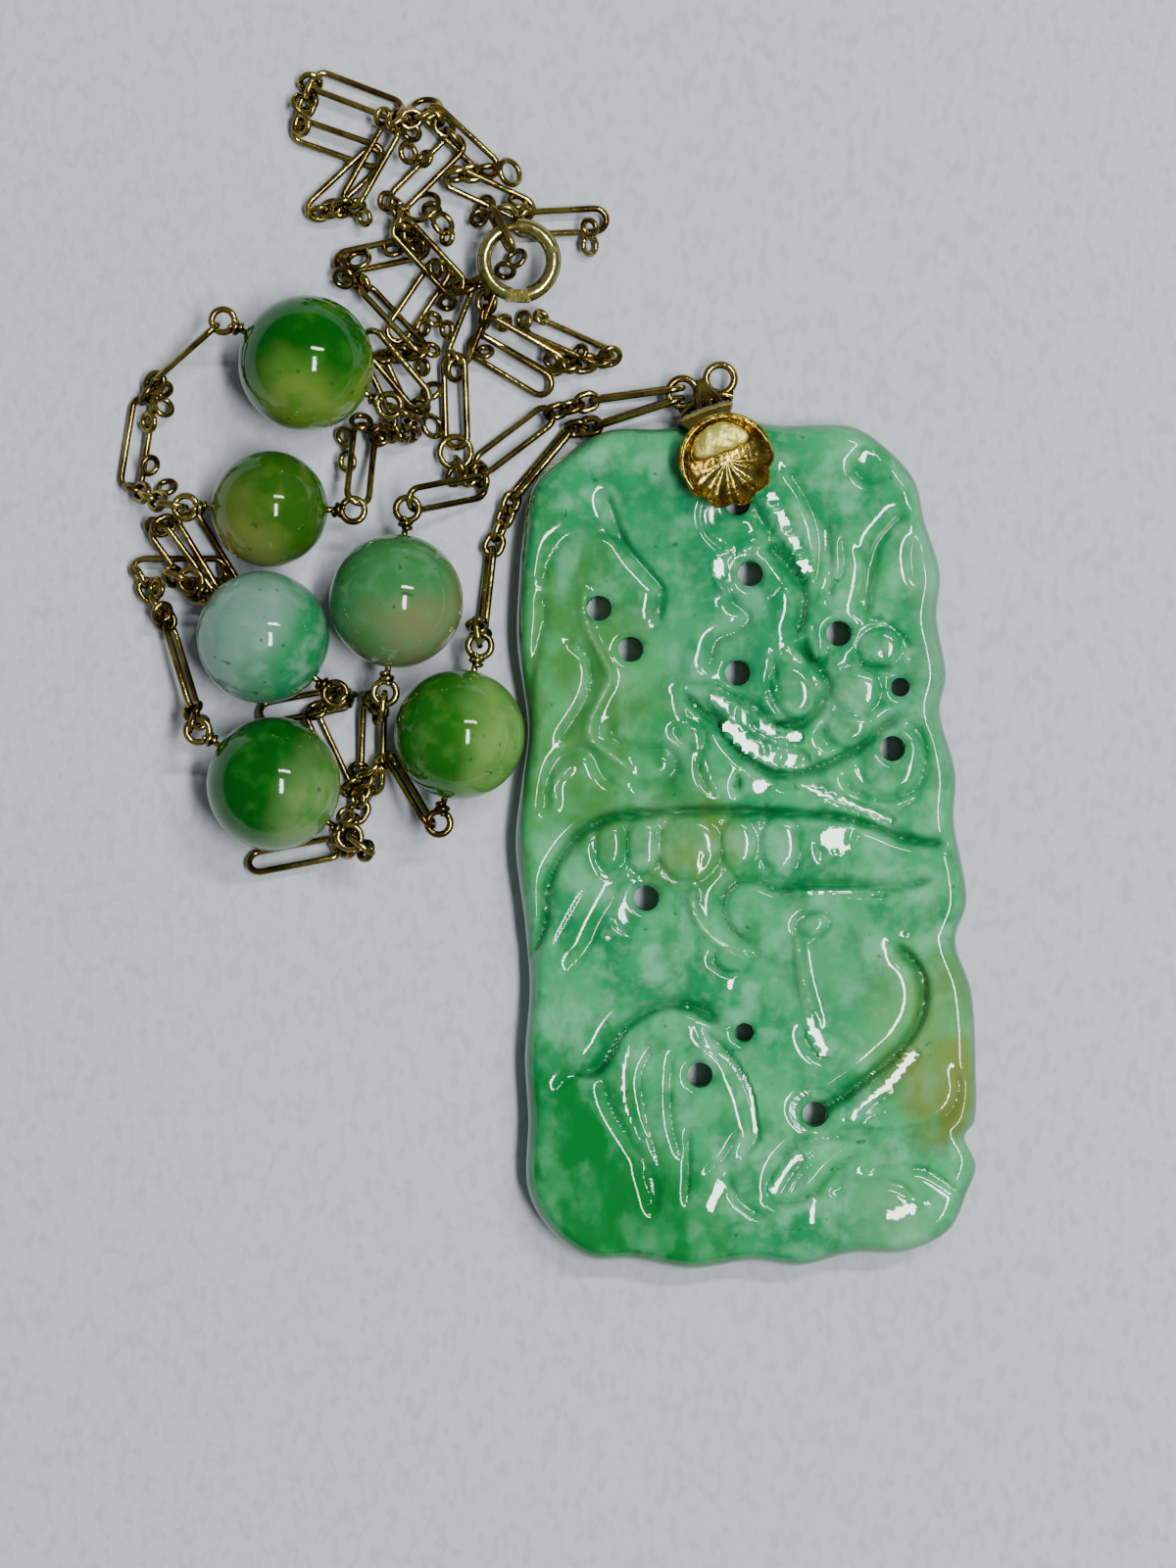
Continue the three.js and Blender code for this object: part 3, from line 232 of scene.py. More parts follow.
# Cuts of the wheel: depth, widths of the left and the right slope along the way,
# and the way. A negative depth is a ridge. All sizes are in millimetres.
GROOVES = [
    # Stem and round leaf on the upper left, and the long S below them.
    (0.55, 0.35, 0.8, [(-9.2, 22.8), (-8.6, 20.9), (-7.8, 19.1), (-6.6, 17.7), (-5.6, 16.4), (-5.7, 15),
        (-5.9, 14.1)]),
    (0.4, 1, 0.4, [(-13.2, 16.4), (-12.7, 18.3), (-11.7, 19.6), (-10.3, 20.1), (-8.8, 19.9),
        (-7.8, 19.1)]),
    (0.4, 0.5, 0.7, [(-13.2, 16.4), (-13.1, 14.7), (-13.6, 12.4), (-14, 10.3), (-14.3, 8.8)]),
    (-0.4, 0.35, 0.6, [(-10.5, 16.6), (-10.3, 14), (-9.6, 12.5), (-8.9, 10.8), (-9.5, 9.4), (-10.1, 8.1),
        (-10.1, 6.9), (-9.1, 6.1), (-7.5, 4.9)]),
    (0.5, 0.7, 0.35, [(-11.6, 13.1), (-10.5, 12.3), (-10.1, 11.1), (-10.4, 9.6), (-11.4, 7.9),
        (-12.2, 6.8)]),
    (0.45, 0.5, 0.5, [(-8.9, 8.2), (-8.6, 6.9), (-6.9, 6.3), (-5.2, 6.2), (-4.7, 5.1), (-5.6, 4.2),
        (-7.6, 3.9)]),
    (0.4, 0.6, 0.5, [(-13.1, 1.9), (-12.8, 4.4), (-11.9, 5.8), (-10.3, 6.2), (-9.4, 4.6), (-8.4, 3.8)]),
    (-0.25, 0.4, 0.4, [(-12.4, 2.2), (-12.3, 4.3), (-11.2, 5.2)]),
    # Long leaf that hangs from the bail, with its neighbours.
    (0.5, 0.4, 0.9, [(0, 22.1), (1.1, 20.3), (2.6, 18.4), (3.9, 16.4)]),
    (0.4, 0.8, 0.35, [(2.1, 24.1), (3.1, 22.8), (4.1, 20.6), (4.3, 19.1), (4.1, 16.4)]),
    (0.2, 0.2, 0.2, [(0.9, 22.8), (2.2, 20.9), (3.2, 19.1)]),
    (0.8, 0.45, 0.8, [(0.9, 19.5), (2.5, 17.8), (3.3, 16.4), (3.3, 14.7), (2.7, 13.1)]),
    (0.4, 0.4, 0.8, [(-1.9, 16.1), (-0.1, 14.7), (-0.6, 13.8), (-2.1, 13.1), (-2.4, 12.1), (-2.7, 11)]),
    (-0.25, 0.3, 0.3, [(-0.9, 19), (0.2, 19.5), (0.9, 19.1)]),
    (-0.25, 0.35, 0.35, [(-2.3, 18.6), (-2.2, 17.2), (-1.4, 15.6)]),
    (0.85, 0.6, 0.5, [(2.7, 13.1), (3.9, 11.9), (4.8, 10.4), (4.4, 8.9), (3.1, 7.9), (1.2, 7.9)]),
    (0.4, 0.35, 0.35, [(3.4, 13.8), (3.6, 12.2), (4.6, 11.9), (5, 13.2)]),
    (0.25, 0.25, 0.25, [(1.4, 12.6), (1.6, 10.8), (1.9, 9.4)]),
    # Curved leaf cut across the middle, with its vein and rib cuts.
    (0.45, 0.35, 0.6, [(-4.6, 10.3), (-3.6, 10.4), (-2.1, 10.2), (-0.8, 9.5), (0.4, 8.9), (1.6, 7.9),
        (3.6, 7.8)]),
    (1, 0.4, 0.65, [(-4.4, 10), (-3.3, 8.9), (-2, 7.9), (-1.2, 6.8), (0, 5.6), (1.9, 4.7), (4.1, 5.1),
        (5.9, 5.9), (7.5, 6.8), (8.4, 7.7), (9.6, 8.3)]),
    (0.3, 0.22, 0.3, [(-3.3, 9.6), (-2, 8.4), (-0.3, 7.3), (2.2, 6.3), (3.8, 6.1)]),
    # Upright leaves and the three ovals on the right.
    (0.3, 0.35, 0.5, [(4.9, 20.9), (5, 18.6), (5.1, 16.6), (4.9, 15.4)]),
    (0.3, 0.3, 0.4, [(5.8, 19.7), (5.9, 17.6), (5.2, 16.6)]),
    (0.3, 0.4, 0.3, [(6.7, 19), (7.2, 18.2), (7.3, 16.6), (6.6, 14.9)]),
    (0.55, 0.5, 0.8, [(10, 21.5), (8.8, 20.2), (8, 19.1), (7.6, 16.6), (7.2, 14.4)]),
    (0.25, 0.5, 0.5, [(10.4, 19.9), (10.2, 18.4), (10.5, 16.6)]),
    (0.35, 0.4, 0.4, [(6.3, 24.6), (6.9, 23.5), (7.8, 23.2), (8.8, 23.6)]),
    (0.3, 0.3, 0.5, [(7.2, 14.5), (8.6, 14.3), (9.8, 13.2), (10.2, 12)]),
    (0.45, 0.4, 0.5, [(6.4, 12.4), (7, 11.7), (8.6, 11.4), (9.2, 10.9)]),
    (0.4, 0.4, 0.5, [(4.6, 8.2), (4.7, 6.8), (5.6, 6.1)]),
    # Round leaf about its hole at the right edge.
    (0.45, 0.3, 0.6, [(9.8, 8.1), (10.9, 7.1), (11.1, 5.4), (10.6, 3.8), (9.2, 3.1), (7.8, 3.1), (6.4, 3.7),
        (5.8, 4.7)]),
    (0.3, 0.3, 0.3, [(11, 3.9), (10.2, 2.9), (8.7, 2.3), (7.2, 2.7)]),
    (0.35, 0.3, 0.3, [(8.3, 8.1), (9.2, 8.4), (9.8, 8.2)]),
    # Slot leaf with its pit, left of the curved leaf.
    (0.35, 0.3, 0.4, [(-4.5, 9.2), (-4, 8.4), (-3.2, 7.9), (-2.8, 6.9), (-3.2, 6.1)]),
    (0.25, 0.3, 0.3, [(-3.9, 7.9), (-4.9, 7.5), (-4.4, 6.7), (-3.4, 6.3)]),
    (0.25, 0.3, 0.3, [(-3.3, 6), (-3.1, 4.4), (-1.9, 3.1)]),
    (0.9, 0.35, 0.35, [(-0.7, 4.7), (-0.8, 3.9), (-0.9, 3.3)]),
    (0.3, 0.4, 0.4, [(1.6, 4), (4.6, 3.6), (6.6, 2.9), (9, 1.6)]),
    # Branch from edge to edge over the peas, and the line under them.
    (0.95, 0.5, 0.45, [(-14.2, -7.5), (-13.1, -4.9), (-12.9, -2.6), (-12.2, -0.8), (-10.9, 0.8),
        (-9.2, 1.8), (-6.4, 2.2), (-1.9, 2.4), (2.2, 2.2), (5.2, 2), (7.7, 1.4), (9.7, 0.6), (12.5, 0.2)]),
    (0.75, 0.35, 0.7, [(11.6, -1.9), (9.7, -2.5), (6.7, -2.4), (3.7, -2.4), (1.7, -2.6), (0.3, -2.1),
        (-0.9, -2.2), (-1.7, -3.1), (-1.7, -4.2), (-1.1, -5.2), (0, -6.1)]),
    (0.3, 0.3, 0.3, [(4.5, 1.4), (4.4, 0.2), (4.5, -0.9)]),
    (0.2, 0.15, 0.2, [(4.9, -0.1), (6, -0.3), (6.9, -0.2)]),
    (-0.4, 0.3, 0.45, [(-3.7, -2.3), (-3.7, -3.5), (-3.1, -4.9), (-1.9, -6), (-0.6, -6.6), (0.2, -6.9)]),
    (0.35, 0.3, 0.8, [(-8.1, -2.1), (-9.6, -5), (-10.4, -6.6), (-11.6, -7.8)]),
    (0.2, 0.25, 0.25, [(-9.4, -5.6), (-8.6, -5.7), (-7.9, -5.8)]),
    (0.25, 0.3, 0.3, [(-2.1, -6.4), (-2.4, -7.2), (-1.5, -7.9), (-0.4, -7.9), (-0.1, -7)]),
    # Long raised stem from its bud on the lower middle.
    (-0.5, 0.4, 0.4, [(2.9, -5.6), (3.2, -7.9), (3.7, -9.9), (4.2, -11.6)]),
    (0.25, 0.25, 0.25, [(2.8, -5.5), (2.9, -4.7), (3.8, -4.1), (4.9, -4.3), (4.8, -5.2), (3.9, -5.9),
        (3.2, -6.2)]),
    (0.3, 0.3, 0.6, [(3.2, -11.2), (4, -12.9), (5.3, -13.5)]),
    # Fan leaf on the lower right, with its veins.
    (1.1, 0.4, 0.8, [(9.2, -6.1), (10.4, -7.2), (11, -8.6), (10.9, -10.6), (9.8, -12.5), (8.1, -14.1),
        (6.2, -15.6), (4.2, -16.9)]),
    (0.25, 0.25, 0.25, [(9.6, -5.5), (10.6, -5.4)]),
    (0.5, 0.15, 0.15, [(12.2, -5.7), (12.8, -5.9), (13.5, -6.1)]),
    (0.25, 0.2, 0.3, [(5.8, -17.3), (7.6, -15.4), (9.7, -12.9)]),
    (0.35, 0.3, 0.5, [(5.3, -17.8), (7.3, -17.9), (9.6, -17.9), (11.6, -17.4), (12.7, -16.6), (13.2, -15.2),
        (12.9, -14)]),
    # Small leaf and waves at the bottom.
    (0.45, 0.3, 0.5, [(6.6, -18.3), (4.6, -18.4), (2.9, -18.9), (1.6, -20.3), (1.2, -22.2)]),
    (0.55, 0.5, 0.3, [(1, -22.5), (2.4, -22.6), (4, -21.9), (5.3, -20.5), (6.9, -19.3)]),
    (0.3, 0.25, 0.6, [(7, -20.4), (8.9, -20.2), (10.9, -20.3), (12.2, -21), (13.4, -21.9)]),
    (0.3, 0.3, 0.6, [(4.9, -21.7), (7.2, -21.1), (9.4, -21.3), (10.6, -22.3)]),
    # Folded leaf on the lower left, with its veins.
    (1, 1, 0.35, [(-10.9, -14.3), (-9.9, -14.2), (-9, -13.2), (-8.3, -11.9), (-7.5, -11.1),
        (-5.6, -10.1), (-3.8, -10.2), (-1.9, -11.2)]),
    (0.4, 0.5, 0.5, [(-9.4, -14.6), (-8.9, -16.4), (-7.4, -18.9), (-6.2, -20.9), (-5.9, -23.2)]),
    (0.5, 0.25, 0.8, [(-3.4, -11.3), (-1.9, -12.4), (-0.6, -14.4), (0.1, -16.4), (0.4, -18.5),
        (-0.6, -19.6)]),
    (0.2, 0.2, 0.3, [(-6, -12.5), (-6.9, -14.4), (-6.6, -16.9), (-5.4, -21.2)]),
    (0.25, 0.25, 0.3, [(-4.9, -12.8), (-5.1, -15.3), (-4.9, -17.8), (-4.3, -19.7)]),
    (0.35, 0.25, 0.3, [(-4, -17.8), (-3.9, -19.6), (-4, -22.6)]),
    (0.25, 0.3, 0.3, [(-0.8, -18.1), (-1.7, -19.7), (-2.9, -20.6)]),
    (0.4, 0.35, 0.35, [(-7.1, -19.9), (-6.6, -21.6), (-6.2, -23.2)]),
    (0.4, 0.4, 0.3, [(-1.5, -20.8), (-0.9, -22.1), (0.2, -23.1), (1.2, -23.5)]),
    (0.25, 0.3, 0.8, [(-9.2, -14.6), (-10.9, -14.4), (-12.5, -15.4)]),
]

# Fine veins, in the same terms. They are cut last and cross the flats.
VEINS = [
    (0.15, 0.2, 0.2, [(-10.3, -2.5), (-11.3, -4.2), (-12.5, -6.3)]),
    (0.12, 0.12, 0.2, [(4.6, -18.9), (2.9, -20.5), (1.8, -22.1)]),
    (0.12, 0.12, 0.2, [(5.2, -18.9), (3.4, -20.6), (2.4, -22.1)]),
    *((0.17, 0.18, 0.22, way) for way in (
        [(1, 21.7), (2.5, 21.9)], [(1.8, 20.1), (3.3, 20.2)], [(2.6, 18.6), (4, 18.8)],
        [(0.6, 9), (0.2, 8.3), (0.3, 7.5)], [(-0.6, 9.3), (-1, 8.7), (-0.9, 8)],
        [(0.9, 6.5), (0.9, 5.9)], [(2.2, 6.2), (1.7, 5.3)], [(3.6, 5.9), (3.1, 5.2)],
        [(2.2, 7.9), (1.9, 7)], [(6.5, 1.2), (6.2, 0.2)], [(7, -16.9), (8.6, -15.8), (10.2, -15)],
        [(6.9, -17.3), (8.6, -16.7), (10.4, -16.3)],
    )),
]

# Swellings and dishes: place, half width, half height, turn and rise.
SWELLINGS = [
    (-8.9, 0.2, 0.9, 1.7, 0, 0.4), (-6.8, 0.2, 1.1, 1.8, 0, 0.4), (-3.9, 0, 1.9, 2.1, 0, 0.45),
    (-0.8, 0.2, 1.1, 1.8, 0, 0.4), (1.9, 0.2, 1.2, 2, 0, 0.4), (2.7, 10, 1.3, 1.9, 20, 0.45),
    (8.2, 12.7, 1.4, 1.2, 20, 0.4), (6.7, 10, 1.5, 1.5, 10, 0.4), (6.2, 7.6, 1.4, 1.2, 0, 0.4),
    (9, 5.6, 2, 2.2, 0, 0.2), (-1.2, -7.1, 1.1, 0.7, -10, 0.3), (4, -4.9, 1, 0.7, 25, 0.3),
    (7.6, 24.4, 1, 0.9, 0, -0.5), (-0.8, 21, 2.2, 2, 0, -0.35), (-6.7, -3.8, 1.9, 1.8, 0, -0.4),
    (-0.3, 11, 1.7, 1.4, 0, -0.3), (0.2, 17.3, 1.7, 1.7, 0, -0.3), (4, -16.6, 1.4, 1.2, 0, -0.25),
]

# Facets left by a flat wheel, leaning a little to the right, the less so the
# further right: half width and the way along the middle.
FACETS = [
    (0.68, [(1, 22.7), (2.5, 20), (3.8, 17.3)]), (0.6, [(-2.1, 18.6), (-1.9, 16.9)]),
    (0.58, [(-2.6, 9.7), (-1.2, 8.8), (-0.1, 8.2), (1.6, 7.3), (3.4, 7)]),
    (0.72, [(-1.8, 8), (-1.1, 7.4), (0, 6.4), (1.9, 5.6), (3.8, 5.6)]), (1.05, [(4.1, 0.6), (7, 0.6)]),
    (0.42, [(-3.1, 5.9), (-2.5, 4.4), (-1.9, 3.1)]), (0.72, [(-0.1, 3.9), (1.4, 4)]),
    (0.4, [(2.9, 4.1), (6, 2.9), (9.1, 1.7)]), (0.62, [(3.6, -10.2), (4, -11.6), (4.9, -13.2)]),
    (0.26, [(2.9, -5.6), (3.1, -7.9), (3.6, -10.6)]), (0.66, [(10.6, -12.7), (9, -14.7), (6.2, -17.3)]),
    (0.42, [(-7.6, -12.3), (-8.1, -14.4), (-7.9, -16.5), (-6.9, -18.6)]),
    (0.34, [(-3.2, -11.3), (-2.6, -12.5), (-0.9, -13.9), (0, -15.6), (0.3, -18.4)]),
    (0.6, [(3.3, -19.3), (1.2, -22)]), (0.55, [(-1.6, -21), (-2.9, -23.1)]),
    (0.2, [(-1, -22.3), (0.5, -23.2)]), (0.42, [(4, -22.1), (3.9, -24)]),
    (0.6, [(8.3, -23.3), (10.8, -22.8)]), (0.24, [(9.9, -22.1), (11.7, -22.6)]),
    (0.16, [(7.2, 10.7), (7.2, 9.5)]), (0.2, [(6.2, 9), (7.4, 9)]), (0.14, [(5.7, 7.5), (6.7, 7.4)]),
    (0.2, [(8.3, 12.5), (8.5, 11.7)]), (0.2, [(4, 14.2), (4.1, 11.9)]),
    (0.16, [(2.2, 13.8), (1.9, 12)]), (0.25, [(-4.3, 0.2), (-3.7, -1.5)]),
    (0.25, [(-2.9, -0.2), (-3.4, -2.1)]), (0.4, [(-0.9, -7.9), (-1.3, -9.1)]),
    (0.28, [(-3.7, -2.6), (-3.4, -4.4), (-2.4, -5.6), (-1.4, -6.2), (0, -6.8)]),
    (0.28, [(-1, -1.7), (0.2, -0.8)]), (0.28, [(2.1, -1.8), (2.8, -0.8)]),
    (0.24, [(2, -2.9), (5, -2.8), (8.6, -3)]), (0.24, [(2.9, -18.9), (4.5, -18.5), (5.8, -18.3)]),
    (0.16, [(5.8, 19.6), (6, 17.8)]), (0.2, [(-11, -14.4), (-10, -14.1)]),
]
FACET_LEAN = 0.113
FACET_LEAN_LOSS = 0.0027
FACET_EDGE = 0.15
CUT_WIDTH = 0.66
CUT_REACH = 2.2
CUT_RUN_OUT = 0.9
SWELLING_SHARE = 0.6
SWELLING_MOAT = 0.35
SWELLING_MOAT_WIDTH = 0.2
WHEEL_WAVE = 0.008
HOLE_EASING = 0.3
HOLE_EASING_WIDTH = 0.18
LOWEST_GROUND = PLAQUE_THICKNESS - 1.5
HIGHEST_RIDGE = PLAQUE_THICKNESS + 0.55
CHANNEL_HALF_WIDTH = 1.6
CHANNEL_LENGTH = 10
CHANNEL_DEPTH = 1.1
BACK_RINGS = 6
RIM_RINGS = 13
FACE_RINGS = 73
SIDE_POINTS = 168
END_POINTS = 310
STAIN_DRIFT = 5


def full_turn(count):
    """Evenly spaced angles round a full turn."""
    return np.linspace(0, 2 * math.pi, count, endpoint=False)


def evenly(way, count, closed=False):
    """The same way as that many evenly spaced points."""
    run = np.concatenate([[0], np.cumsum(np.linalg.norm(np.diff(way, axis=0), axis=1))])
    even = np.linspace(0, run[-1], count, endpoint=not closed)
    return np.stack([np.interp(even, run, column) for column in way.T], axis=1)


def smooth_way(points, count, closed=False):
    """Evenly spaced points on the smooth curve through the given ones."""
    knots = np.array(points, float)
    if closed:
        knots = np.vstack([knots[-1], knots, knots[:2]])
    else:
        knots = np.vstack([2 * knots[0] - knots[1], knots, 2 * knots[-1] - knots[-2]])
    a, b, c, d = knots[:-3], knots[1:-2], knots[2:-1], knots[3:]
    pairs = ((a, b), (b, c), (c, d))
    before, between, after = (np.sqrt(np.linalg.norm(q - p, axis=1))[:, None] for p, q in pairs)
    leave = ((b - a) / before - (c - a) / (before + between)) * between + c - b
    arrive = c - b - ((d - b) / (between + after) - (d - c) / after) * between
    t = np.linspace(0, 1, 24, endpoint=False)[None, :, None]
    b, c, leave, arrive = (part[:, None, :] for part in (b, c, leave, arrive))
    way = (2 * t**3 - 3 * t**2 + 1) * b + (t**3 - 2 * t**2 + t) * leave
    way = way + (3 * t**2 - 2 * t**3) * c + (t**3 - t**2) * arrive
    way = np.vstack([way.reshape(-1, knots.shape[1]), c[-1:, 0]])
    return evenly(way, count, closed)


def beside_way(place, points, reach):
    """The spots near a way: which they are, their distance, side and share of the way."""
    way = smooth_way(points, 8 * len(points))
    near = np.all((place > way.min(0) - reach) & (place < way.max(0) + reach), axis=1)
    spots = place[near]
    nearest = np.full(len(spots), 1e9)
    side = np.ones(len(spots))
    along = np.zeros(len(spots))
    for step, (start, end) in enumerate(zip(way[:-1], way[1:])):
        run = end - start
        off = spots - start
        share = np.clip(off @ run / (run @ run), 0, 1)
        distance = np.linalg.norm(off - share[:, None] * run, axis=1)
        closer = distance < nearest
        nearest[closer] = distance[closer]
        side[closer] = (run[0] * off[:, 1] - run[1] * off[:, 0])[closer]
        along[closer] = (step + share)[closer] / (len(way) - 1)
    length = np.linalg.norm(np.diff(way, axis=0), axis=1).sum()
    return near, nearest, side, along, length


def groove(height, place, depth, left, right, points):
    """Lowers the face along a way that runs out to nothing at both ends."""
    near, distance, side, along, length = beside_way(place, points, CUT_REACH * max(left, right))
    fade = np.clip(np.minimum(along, 1 - along) * length / CUT_RUN_OUT + 0.15, 0, 1)
    width = np.where(side > 0, left, right)
    height[near] -= depth * fade * np.exp(-((distance / (CUT_WIDTH * width)) ** 1.6))


def facet(height, place, half_width, points):
    """Grinds the face along a way to one flat, as high as the face was there on average."""
    near, distance, _, along, length = beside_way(place, points, half_width)
    tip = np.clip(np.minimum(along, 1 - along) * length / (0.5 * half_width), 0, 1)
    width = half_width * np.sqrt(tip) * (0.9 + 0.1 * np.sin(9 * along * length))
    mask = np.clip((width - distance) / FACET_EDGE, 0, 1) * (tip > 0)
    right = place[near][:, 0]
    middle = (right * mask).sum() / mask.sum()
    lean = FACET_LEAN - FACET_LEAN_LOSS * middle
    flat = (height[near] * mask).sum() / mask.sum() - lean * (right - middle)
    height[near] += (flat - height[near]) * mask


def oval(place, x, y, half_width, half_height, turn):
    """How far each point is from an oval's middle, with 1 at its edge."""
    off = place - (x, y)
    c, s = math.cos(math.radians(turn)), math.sin(math.radians(turn))
    u = (off[:, 0] * c + off[:, 1] * s) / half_width
    v = (off[:, 1] * c - off[:, 0] * s) / half_height
    return np.sqrt(u**2 + v**2)


def carved_face(place):
    """The height of the carved front over each point, before the rim is rounded."""
    height = np.full(len(place), PLAQUE_THICKNESS)
    for cut in GROOVES:
        groove(height, place, *cut)
    for x, y, half_width, half_height, turn, rise in SWELLINGS:
        out = oval(place, x, y, half_width, half_height, turn)
        height += SWELLING_SHARE * rise * np.sqrt(np.clip(1 - out**3, 0, 1))
        moat = (out - 1.08) * half_width / SWELLING_MOAT_WIDTH
        height -= SWELLING_MOAT * abs(rise) * np.exp(-(moat**2))
    for flat in FACETS:
        facet(height, place, *flat)
    for vein in VEINS:
        groove(height, place, *vein)
    for hole, size in DRILLED:
        away = np.linalg.norm(place - hole, axis=1) - size / 2
        height -= HOLE_EASING * np.exp(-((np.maximum(away, 0) / HOLE_EASING_WIDTH) ** 1.5))
    across, up = place.T
    wave = np.sin(1.1 * across + 2 * np.sin(0.5 * up)) * np.sin(0.9 * up + 0.3 * across)
    return np.clip(height + WHEEL_WAVE * wave, LOWEST_GROUND, HIGHEST_RIDGE)


def piece(name, points, faces, finish, node, slot, place=(0, 0, 0), sharp=None):
    """A finished piece from points in millimetres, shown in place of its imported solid."""
    mesh = bpy.data.meshes.new(name)
    mesh.from_pydata(np.asarray(points) * MM, [], faces)
    mesh.materials.append(finish.material)
    mesh.shade_smooth()
    if sharp:
        mesh.set_sharp_from_angle(angle=math.radians(sharp))
    body = placed(name, mesh, place)
    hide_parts(node)
    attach(body, "root")
    return body


def ring_faces(rings, count, last_cap=True, closed=False):
    """Faces of a skin over stacked rings of points, capped at its ends or closed on itself."""
    grid = np.arange(rings * count).reshape(rings, count)
    if closed:
        grid = np.vstack([grid, grid[:1]])
    turned = np.roll(grid, -1, axis=1)
    faces = np.stack([grid[:-1], turned[:-1], turned[1:], grid[1:]], axis=2).reshape(-1, 4).tolist()
    if not closed:
        faces.append(grid[0][::-1].tolist())
    if last_cap and not closed:
        faces.append(grid[-1].tolist())
    return faces


def cut_away(body, points, faces):
    """Takes a closed tool shape out of a piece."""
    mesh = bpy.data.meshes.new("tool")
    mesh.from_pydata(np.asarray(points) * MM, [], faces)
    tool = placed("tool", mesh)
    cut = body.modifiers.new("cut", "BOOLEAN")
    cut.operation = "DIFFERENCE"
    cut.solver = "MANIFOLD"
    cut.object = tool
    with bpy.context.temp_override(object=body, active_object=body, selected_objects=[body]):
        bpy.ops.object.modifier_apply(modifier="cut")
    bpy.data.objects.remove(tool)


def drill(x, y, size, sides=40):
    """A drill's round shape, through the whole slab."""
    turns = full_turn(sides)
    circle = np.stack([x + size / 2 * np.cos(turns), y + size / 2 * np.sin(turns)], axis=1)
    ends = [np.column_stack([circle, np.full(sides, z)]) for z in (-1, PLAQUE_THICKNESS + 1.8)]
    return np.vstack(ends), ring_faces(2, sides)


def turning(degrees, axis="Z"):
    """The matrix of a turn about an axis."""
    return Matrix.Rotation(math.radians(degrees), 3, axis)


def bail_place(x, y, z):
    """A point of the bail, which stands turned over the top hole."""
    return turning(BAIL_TURN) @ Vector((x, y, z)) + Vector((*BAIL_HOLE, 0))


def plaque_edge():
    """The outline, with its left and right points level so that they meet on the middle line."""
    dense = smooth_way(OUTLINE, 3000, closed=True)
    levels = np.linspace(-SPINE_REACH, SPINE_REACH, SIDE_POINTS)
    sides = []
    for hand in (1, -1):
        side = dense[(dense[:, 0] * hand > 0) & (abs(dense[:, 1]) < SPINE_REACH + 0.5)]
        side = side[np.argsort(side[:, 1])]
        sides.append(np.column_stack([np.interp(levels, side[:, 1], side[:, 0]), levels]))
    ends = []
    for hand, first, last in ((1, sides[0][-1], sides[1][-1]), (-1, sides[1][0], sides[0][0])):
        end = dense[dense[:, 1] * hand > SPINE_REACH]
        around = np.arctan2(end[:, 1] - hand * SPINE_REACH, end[:, 0])
        end = np.vstack([first, end[np.argsort(around)], last])
        ends.append(evenly(end, END_POINTS)[1:-1])
    return np.vstack([sides[0], ends[0], sides[1][::-1], ends[1]])


